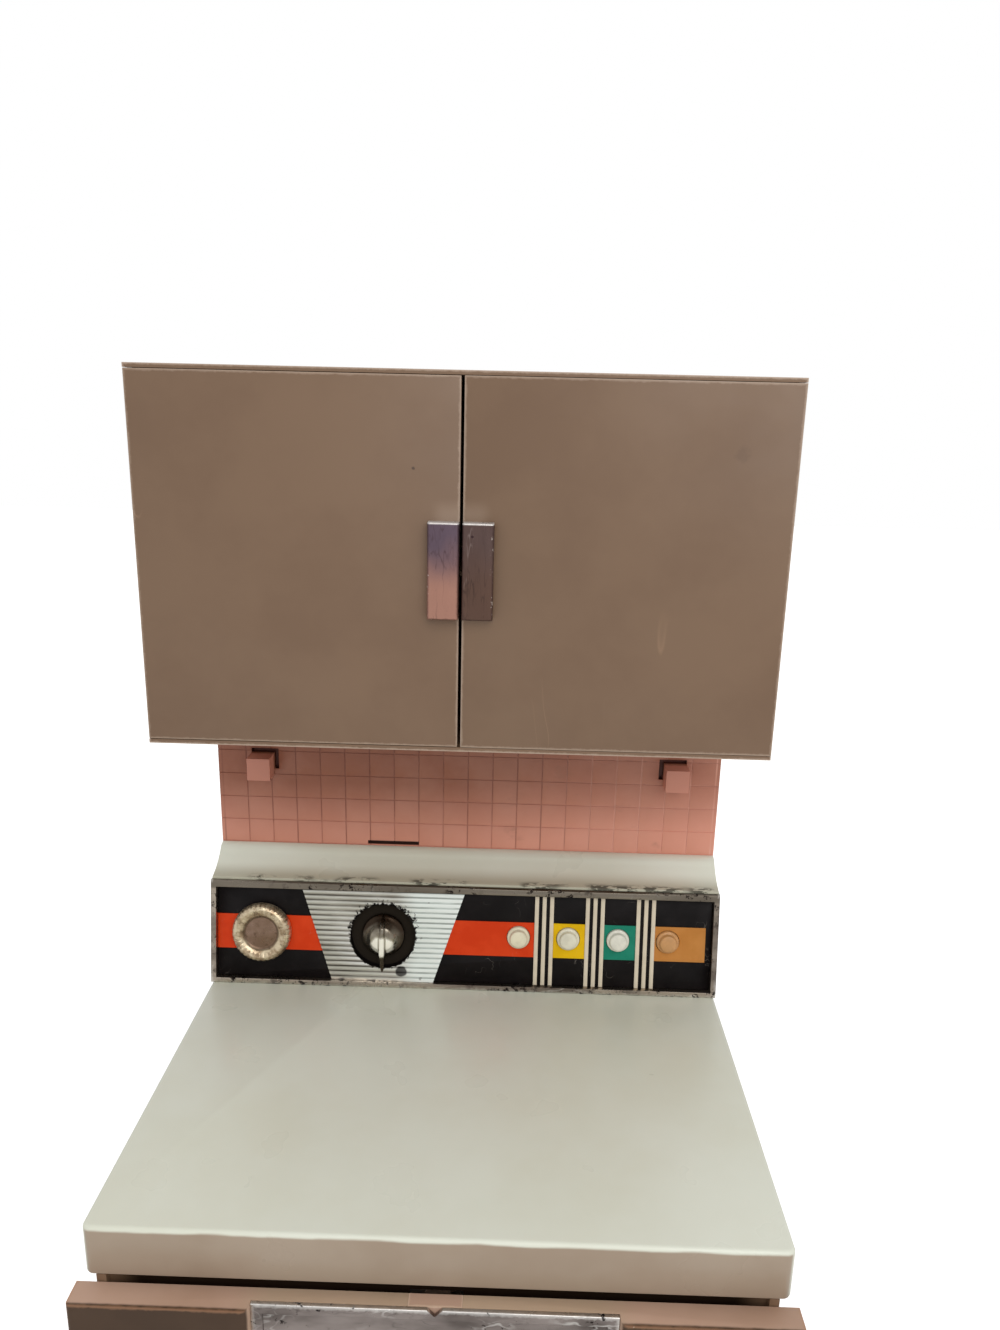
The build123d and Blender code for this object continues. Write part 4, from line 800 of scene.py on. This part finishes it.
shell_cream = moulded("console_shell_plastic", stain_and_painted_light=shell_shade_and_grime, **CREAM_LOOK)
bezel_plating = plating("bezel_plating", (184, 172, 158), (112, 102, 94), "console_bezel", (0.3, 1.0, 1.0),
                        pits=1.25, scratch=0.6, top_tint=(104, 97, 86))
door_plating = plating("door_plate_plating", (162, 152, 148), (96, 88, 84), "door_plate", (0.5, 1.0, 1.0),
                       pits=0.45, scratch=0.8, edge_highlight_and_scratch=(250, 248, 244))
left_plating = handle_plating("left_pull_plating", "left_handle", (98, 81, 94), (172, 126, 110), (62, 38, 40))
right_plating = handle_plating("right_pull_plating", "right_handle", (90, 70, 66), (94, 69, 58), (44, 28, 25))
white_liner = plain("white_liner_plastic", (216, 216, 207), 0.4, clouding=0.2)
SHELLS = [                      # node, how far its edges are rounded in millimetres, finish
    ("countertop", 0.35, counter_cream),
    ("console_housing", 0.3, shell_cream),
    ("wall_cabinet", 0.12, upper_taupe),
    ("left_leaf", 0.22, leaf_taupe["left_leaf"]),
    ("right_leaf", 0.22, leaf_taupe["right_leaf"]),
    ("base_cabinet", 0.4, cabinet_taupe),
    ("kick_plate", 0.4, taupe),
    ("back_cover", 0.4, taupe),
    ("battery_hatch", 0.3, taupe),
    ("cabinet_shelf", 0.4, taupe),
    ("lower_door", 0.7, door_face()),
    ("tile_board", 0.12, tiles()),
    ("console_bezel", 0.22, bezel_plating),
    ("door_plate", 0.18, door_plating),
    ("left_handle", 0.25, left_plating),
    ("right_handle", 0.25, right_plating),
    ("dial_plate", 0.07, foil()),
    ("divider_bars", 0.12, printed("ivory_bars", (218, 206, 184), 0.3)),
    ("console_panel", 0.1, printed("black_panel_paint", (13, 9, 10), 0.5)),
    ("tub", 0.4, white_liner),
    ("door_liner", 0.4, white_liner),
]
for node, width, material in SHELLS:
    rounded(node, width * MM, material)
print("rounded shells:", len(SHELLS))

# %% Solids that keep their own mesh
pale_blue = plain("pale_blue_plastic", (150, 174, 186), 0.42)
dark_plastic = plain("dark_inner_plastic", (86, 82, 78), 0.55)
steel = plain("bright_steel", (176, 176, 174), 0.3, 1.0)
catch_tan = moulded("catch_plastic", TAN, TAN_SHADE, (212, 184, 160), "door_catch", edge_band_width=0.5 * MM)
KEPT = [
    (printed("orange_print", (216, 60, 16)), ["orange_band"]),
    (printed("yellow_print", (230, 184, 6)), ["yellow_band"]),
    (printed("teal_print", (26, 128, 104)), ["teal_band"]),
    (printed("tan_print", (192, 127, 60)), ["tan_band"]),
    (catch_tan, ["door_catch"]),
    (white_liner, ["rack_runners"]),
    (pale_blue, ["dish_rack", "spray_arm"]),
    (dark_plastic, ["arm_bush", "arm_pulley", "motor_pulley", "motor_bracket", "battery_box", "base_plate",
                    "cycle_switch", "button_carrier"]),
    (steel, ["arm_shaft", "motor_spindle", "cover_screws", "board_screws", "liner_screws", "hinge_pins",
             "leaf_pins", "catch_strike"]),
    (plain("rubber_belt", (30, 30, 30), 0.7), ["drive_belt"]),
    (plain("motor_can", (128, 130, 132), 0.35, 0.9), ["motor_case"]),
    (plain("cell_jacket", (62, 72, 98), 0.4), ["battery_cells"]),
    (plain("brass", (196, 164, 92), 0.3, 1.0), ["battery_contacts"]),
    (plain("red_lead", (160, 40, 32), 0.5), ["wiring"]),
    (plain("spring_wire", (150, 150, 150), 0.35, 1.0), [f"button_spring_{number}" for number in range(1, 5)]),
]
for material, nodes in KEPT:
    for node in nodes:
        solid = frame["nodes"][node]
        if not solid.material_slots:
            solid.data.materials.append(material)
        for slot in solid.material_slots:
            slot.material = material
print("finishes of the solids that stay:", len(KEPT))

# %% [markdown]
# The knobs and buttons were turned and then moulded, so each is a profile carried round an
# axis: a point at radius r and height h goes to (r cos a, r sin a, h) for every angle a. A
# second function may push the surface in and out with the angle, which makes the notches.

# %% Surfaces of revolution
WELD = 0.001 * MM


def smooth_profile(corners, round_off, steps=4):
    """The corners joined by straight runs, each corner turned into a small quadratic curve.

    A curve from a to b about corner c is (1-t)^2 a + 2t(1-t) c + t^2 b."""
    corners = np.array(corners, float)
    share = np.linspace(0, 1, steps + 1)[:, None]
    points = [corners[:1]]
    for before, corner, after in zip(corners[:-2], corners[1:-1], corners[2:]):
        back, on = before - corner, after - corner
        cut = min(round_off, 0.45 * np.linalg.norm(back), 0.45 * np.linalg.norm(on))
        start = corner + back / np.linalg.norm(back) * cut
        end = corner + on / np.linalg.norm(on) * cut
        points.append((1 - share) ** 2 * start + 2 * share * (1 - share) * corner + share ** 2 * end)
    points.append(corners[-1:])
    return np.concatenate(points)


def grid_piece(name, points, body, material):
    """Puts a grid of points, rows by columns, into a mesh whose columns close round."""
    rows, columns = points.shape[:2]
    index = np.arange(rows * columns).reshape(rows, columns)
    following = np.roll(index, -1, axis=1)
    quads = np.stack([index[:-1], following[:-1], following[1:], index[1:]], axis=-1).reshape(-1, 4)
    mesh = bpy.data.meshes.new(name)
    mesh.from_pydata(points.reshape(-1, 3).tolist(), [], quads.tolist())
    work = bmesh.new()
    work.from_mesh(mesh)
    bmesh.ops.remove_doubles(work, verts=work.verts, dist=WELD)
    bmesh.ops.recalc_face_normals(work, faces=work.faces)
    work.to_mesh(mesh)
    work.free()
    mesh.materials.append(material)
    mesh.shade_smooth()
    piece = add(name, mesh)
    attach(piece, body)
    return piece


def stand_on(points, origin):
    """Turns points from (across, up the console, out of it) in millimetres to their place."""
    console_axes = np.stack([np.array([1.0, 0.0, 0.0]), FACE_UP, FACE_OUT])
    return points * MM @ console_axes + np.array(origin)


def turned(name, profile, sides, origin, body, node, material, shape=None):
    """A profile of (radius, height) carried round the console's normal, in place of a solid."""
    angle = np.linspace(0, 2 * np.pi, sides, endpoint=False)[None, :]
    radius = profile[:, :1] + 0 * angle
    height = profile[:, 1:] + 0 * angle
    if shape:
        radius, height = shape(radius, height, angle + 0 * radius)
    points = np.stack([radius * np.cos(angle), radius * np.sin(angle), height], axis=-1)
    piece = grid_piece(name, stand_on(points, origin), body, material)
    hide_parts(node)
    return piece


print("turning helpers ready")

# %% [markdown]
# The timer knob is a shallow dish: a beaded rim, a slope down to a sunk disc, and a stem with
# a snap ring behind it. The beads are what 36 shallow notches leave of the rim, so the radius
# is reduced by a sharp cosine of 36 times the angle wherever the profile is near the rim.

# %% The timer knob
TIMER_STEM = [(0.0, -8.9), (2.0, -8.9), (2.0, -7.7), (2.8, -7.7), (2.8, -6.5), (2.0, -6.5), (2.0, -2.1)]
TIMER_RIM = [(10.0, -2.1), (10.4, -1.6), (10.4, 0.2), (9.7, 1.3), (8.7, 1.9), (7.4, 1.55)]
TIMER_SLOPE = [(6.5, 1.1), (5.9, 0.5)]
TIMER_DISC = [(5.5, 0.25), (4.0, 0.35), (2.4, 0.45), (0.0, 0.48)]
NOTCHES = 36
NOTCH_FROM, NOTCH_OVER = 8.9, 1.2   # radius where the notches start, and the way to their full depth
NOTCH_DEPTH, RAY_DEPTH = 0.26, 0.13
RAY_RADIUS, RAY_HALF = 7.8, 0.9
BENT = 0.05                         # how far the old knob has warped
CHAMPAGNE, CHAMPAGNE_DULL = (222, 206, 176), (158, 134, 106)
SUNK, SUNK_DULL, RING_DARK, KNOB_DIRT = (126, 101, 82), (150, 124, 108), (74, 54, 40), (84, 62, 44)
SUNK_EDGE = (6.1 * MM, 5.6 * MM)
DARK_RING, RING_SOFT = (5.8 * MM, 6.1 * MM), 0.5 * MM


def notched(radius, height, angle):
    """Cuts notches into the rim and presses short rays into its slope, in millimetres."""
    near_rim = np.clip((radius - NOTCH_FROM) / NOTCH_OVER, 0, 1) * (height > -1.7)
    cut = np.clip(np.cos(NOTCHES * angle), 0, 1) ** 3
    near_ray = np.clip(1 - np.abs(radius - RAY_RADIUS) / RAY_HALF, 0, 1)
    rays = near_ray * (0.5 + 0.5 * np.cos(NOTCHES * angle)) ** 4
    bent = BENT * np.sin(3 * angle + 1.0) * np.clip(radius / 10, 0, 1)
    return radius - NOTCH_DEPTH * near_rim * cut, height - RAY_DEPTH * rays + bent * (height > 0.3)


def champagne():
    """Yellowed plating, with its sunk middle a duller tint, by the distance from the knob's axis."""
    material, tree, shader, place = start_finish("champagne_plating")
    away = length(tree, *on_console(tree, place, TIMER_MIDDLE))
    color = use(tree, clouds, place, CHAMPAGNE, CHAMPAGNE_DULL, 380.0, 1.0)
    dulled = use(tree, clouds, place, SUNK, SUNK_DULL, 200.0, 0.8)
    color = blend(tree, ramp(tree, away, *SUNK_EDGE), color, dulled)
    ring = within(tree, away, *DARK_RING, RING_SOFT)
    color = blend(tree, times(tree, ring, 0.6), color, RING_DARK)
    dirty = ramp(tree, noise(tree, place, 520.0, 4.0, 0.7), 0.56, 0.66)
    color = blend(tree, times(tree, dirty, 0.6), color, KNOB_DIRT)
    height = noise(tree, place, 500.0)
    dress(tree, shader, color, patchy(tree, place, 300.0, 0.22, 0.42), height, 0.35, 0.2 * MM, 0.75)
    return material


timer_profile = smooth_profile(TIMER_STEM + TIMER_RIM + TIMER_SLOPE + TIMER_DISC, 0.35)
timer = turned("timer_knob_turned", timer_profile, 360, TIMER_MIDDLE, "timer", "timer_knob", champagne(),
               notched)
print("timer knob faces:", len(timer.data.polygons))

# %% [markdown]
# The cycle knob sits down in the hole: a flared cone, with an upright blade across it that
# runs on past the hole's lower edge as a pointer. The cone is turned, and the blade is a
# rounded section carried along its length with its width and height given as functions.

# %% The cycle knob's shape
CYCLE_STEM = [(0.0, -9.9), (2.0, -9.9), (2.0, -3.9)]
CYCLE_FOOT = [(7.3, -3.9), (7.6, -3.6), (7.6, -2.3), (7.2, -1.9)]
CYCLE_CONE = [(6.4, -1.3), (5.4, -0.4), (4.6, 0.7), (4.0, 1.5)]
CYCLE_TOP = [(2.6, 1.9), (0.0, 1.95)]
BLADE = np.array([              # station up the console, half width, top and foot in millimetres
    (-12.6, 0.0, -0.2, -0.4), (-12.2, 0.35, 0.25, -0.65), (-11.4, 0.55, 0.5, -0.7),
    (-10.0, 0.7, 0.9, -0.7), (-8.4, 0.85, 1.5, -0.7), (-6.6, 1.0, 2.3, -1.6),
    (-5.0, 1.15, 2.8, -2.0), (-3.0, 1.2, 2.9, -2.0), (0.0, 1.15, 2.9, -2.0),
    (2.4, 1.05, 2.85, -2.0), (4.0, 0.95, 2.7, -2.0), (5.2, 0.8, 1.6, -2.0),
    (6.4, 0.6, 0.2, -2.2), (7.2, 0.4, -0.9, -2.4), (7.5, 0.0, -1.5, -2.4),
])
BLADE_ROWS, BLADE_SIDES = 90, 32
SQUARENESS = 0.6                # 1 would be an ellipse, and 0 a square


def blade():
    """Sections of the pointer, each a rounded square about the middle of its station."""
    angle = np.linspace(0, 2 * np.pi, BLADE_SIDES, endpoint=False)[None, :]
    along = np.linspace(BLADE[0, 0], BLADE[-1, 0], BLADE_ROWS)[:, None]
    half, above, below = (np.interp(along, BLADE[:, 0], BLADE[:, column]) for column in (1, 2, 3))
    sideways = np.sign(np.cos(angle)) * np.abs(np.cos(angle)) ** SQUARENESS
    outward = np.sign(np.sin(angle)) * np.abs(np.sin(angle)) ** SQUARENESS
    out = (above + below) / 2 + (above - below) / 2 * outward
    return np.stack([half * sideways, along + 0 * angle, out], axis=-1)


print("stations along the blade:", len(BLADE))

# %% The cycle knob's finish
LOBE_MIDDLE = -2.6 * MM
LOBE_HALF = (4.2 * MM, 3.6 * MM)
LOBE_HIGHLIGHT, SKIRT_BROWN = (255, 252, 238), (58, 46, 36)
BLADE_FOOT_LINE = (1.0 * MM, 1.3 * MM)  # from the knob's middle line, beside the blade
SKIRT_OUT = (4.6 * MM, 7.0 * MM)        # from the axis: bright, brown
SKIRT_UP = (0.5 * MM, 5.0 * MM)


def add_lobe_highlight(material):
    """Paints a pale cream highlight on the lower half of the knob's top, and darkens its skirt to brown towards
    the rim and the top.
    """
    tree = material.node_tree
    shader = tree.nodes["Principled BSDF"]
    place = put(tree, "ShaderNodeTexCoord").outputs["Object"]
    across, up = on_console(tree, place, DIAL_MIDDLE)
    from_lobe = length(tree, calc(tree, "DIVIDE", across, LOBE_HALF[0]),
                       calc(tree, "DIVIDE", minus(tree, up, LOBE_MIDDLE), LOBE_HALF[1]))
    # painted highlight: the pale cream lobe on the knob's top
    lobe_highlight = ramp(tree, plus(tree, from_lobe, times(tree, noise(tree, place, 700.0), 0.3)), 1.3, 0.95)
    groove = within(tree, calc(tree, "ABSOLUTE", across), *BLADE_FOOT_LINE, 0.25 * MM)
    lobe_highlight = times(tree, lobe_highlight, minus(tree, 1.0, times(tree, groove, 0.7)))
    outer = ramp(tree, length(tree, across, up), *SKIRT_OUT, 0.0, 0.85)
    skirt = plus(tree, outer, ramp(tree, up, *SKIRT_UP, 0.0, 0.5), clamp=True)
    plated = shader.inputs["Base Color"].links[0].from_socket
    color = blend(tree, lobe_highlight, blend(tree, skirt, plated, SKIRT_BROWN), LOBE_HIGHLIGHT)
    feed(tree, shader.inputs["Base Color"], color)
    feed(tree, shader.inputs["Metallic"], ramp(tree, lobe_highlight, 0.0, 1.0, 0.9, 0.1))
    return material


cycle_finish = add_lobe_highlight(plating("cycle_knob_plating", (176, 168, 152), (104, 94, 80), rough=0.24, pits=0.35,
                                pit_color=(52, 42, 34), scratch=0.5, edge_highlight_and_scratch=(226, 220, 206), metal=0.9))
cycle_profile = smooth_profile(CYCLE_STEM + CYCLE_FOOT + CYCLE_CONE + CYCLE_TOP, 0.6)
cone = turned("cycle_knob_cone", cycle_profile, 160, DIAL_MIDDLE, "cycle", "cycle_knob", cycle_finish)
pointer = grid_piece("cycle_knob_pointer", stand_on(blade(), DIAL_MIDDLE), "cycle",
                     cycle_finish)
print("cycle knob faces:", len(cone.data.polygons) + len(pointer.data.polygons))

# %% [markdown]
# Each push button is a wide base, a step and a smaller lens-like cap, on a retaining flange
# and a guide stem. Three are cream and the fourth is tan.

# %% The push buttons
BUTTON_STEM = [(0.0, -14.2), (1.5, -14.2), (1.5, -7.7), (5.0, -7.7), (5.0, -6.5), (4.0, -6.5)]
BUTTON_CAP = [(4.0, -1.9), (3.75, -1.55), (3.1, -1.4), (2.95, -0.1), (2.75, 0.2), (1.8, 0.42), (0.0, 0.5)]
BUTTON_COLORS = [(238, 230, 202), (234, 230, 208), (238, 236, 222), (210, 156, 100)]
BUTTON_RISE = 0.85 * MM         # buttons' row, above the middle of the dial's hole
button_profile = smooth_profile(BUTTON_STEM + BUTTON_CAP, 0.3)
for number, color in enumerate(BUTTON_COLORS, 1):
    node = f"button_{number}"
    low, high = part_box(node)
    sideways = (low[0] + high[0]) / 2 - DIAL_MIDDLE[0]
    origin = DIAL_MIDDLE + np.array([sideways, 0, 0]) + FACE_UP * BUTTON_RISE
    dirt = tuple(int(channel * 0.84) for channel in color)
    material = moulded(node + "_plastic", color, dirt, cloud=220.0, clouding=0.5, gloss=0.25)
    turned(node + "_turned", button_profile, 72, origin, node, node, material)
print("push buttons:", len(BUTTON_COLORS))

# %% [markdown]
# The light is a soft, even room with one large lamp above and in front, so that the counter
# is brightest, the doors are a step darker, and the cupboard shades the tiles under it. The
# world is white to the camera, and dimmer in reflections and as light. The floor glows a
# little to the camera alone, so that it joins the white of the world.

# %% Floor and world
SIDE_LIGHT, TOP_LIGHT, REFLECTED = 0.52, 0.74, 0.8
SKY_LOW, SKY_HIGH = -0.1, 0.9
FLOOR_HALF = 3.0
FLOOR_COLOR = (0.88, 0.88, 0.87, 1)
FLOOR_GLOW = 0.6

corners = [(x * FLOOR_HALF, y * FLOOR_HALF, 0) for x, y in ((-1, -1), (1, -1), (1, 1), (-1, 1))]
floor_mesh = bpy.data.meshes.new("floor")
floor_mesh.from_pydata(corners, [], [(0, 1, 2, 3)])
floor = add("floor", floor_mesh)
floor_finish, floor_tree, shader, _ = start_finish("pale_floor")
shader.inputs["Base Color"].default_value = FLOOR_COLOR
shader.inputs["Roughness"].default_value = 0.8
shader.inputs["Emission Color"].default_value = WHITE
ray = put(floor_tree, "ShaderNodeLightPath").outputs["Is Camera Ray"]
feed(floor_tree, shader.inputs["Emission Strength"], times(floor_tree, ray, FLOOR_GLOW))
floor_mesh.materials.append(floor_finish)

world = bpy.data.worlds.new("room")
bpy.context.scene.world = world
world.use_nodes = True
sky_tree = world.node_tree
background = sky_tree.nodes["Background"]
background.inputs["Color"].default_value = WHITE
upward = axes(sky_tree, put(sky_tree, "ShaderNodeTexCoord").outputs["Generated"])[2]
sky = ramp(sky_tree, upward, SKY_LOW, SKY_HIGH, SIDE_LIGHT, TOP_LIGHT)
rays = put(sky_tree, "ShaderNodeLightPath").outputs
mirrored = ramp(sky_tree, rays["Is Glossy Ray"], 0.0, 1.0, sky, REFLECTED)
feed(sky_tree, background.inputs["Strength"], ramp(sky_tree, rays["Is Camera Ray"], 0.0, 1.0, mirrored, 1.0))
print("floor and world ready")

# %% The lamp
LAMP_POWER = 4.4
LAMP_SIZE = 0.8
LAMP_TINT = (1.0, 0.975, 0.94)
LAMP_PLACE = Vector((0.22, -0.8, 0.9))
LAMP_AIM = Vector((0.0, 0.0, 0.17))

lamp = add("lamp", bpy.data.lights.new("lamp", "AREA"))
lamp.data.energy = LAMP_POWER
lamp.data.size = LAMP_SIZE
lamp.data.color = LAMP_TINT
aimed = (LAMP_AIM - LAMP_PLACE).to_track_quat("-Z", "Y").to_matrix().to_4x4()
lamp.matrix_world = Matrix.Translation(LAMP_PLACE) @ aimed
print("lamp at", LAMP_PLACE)
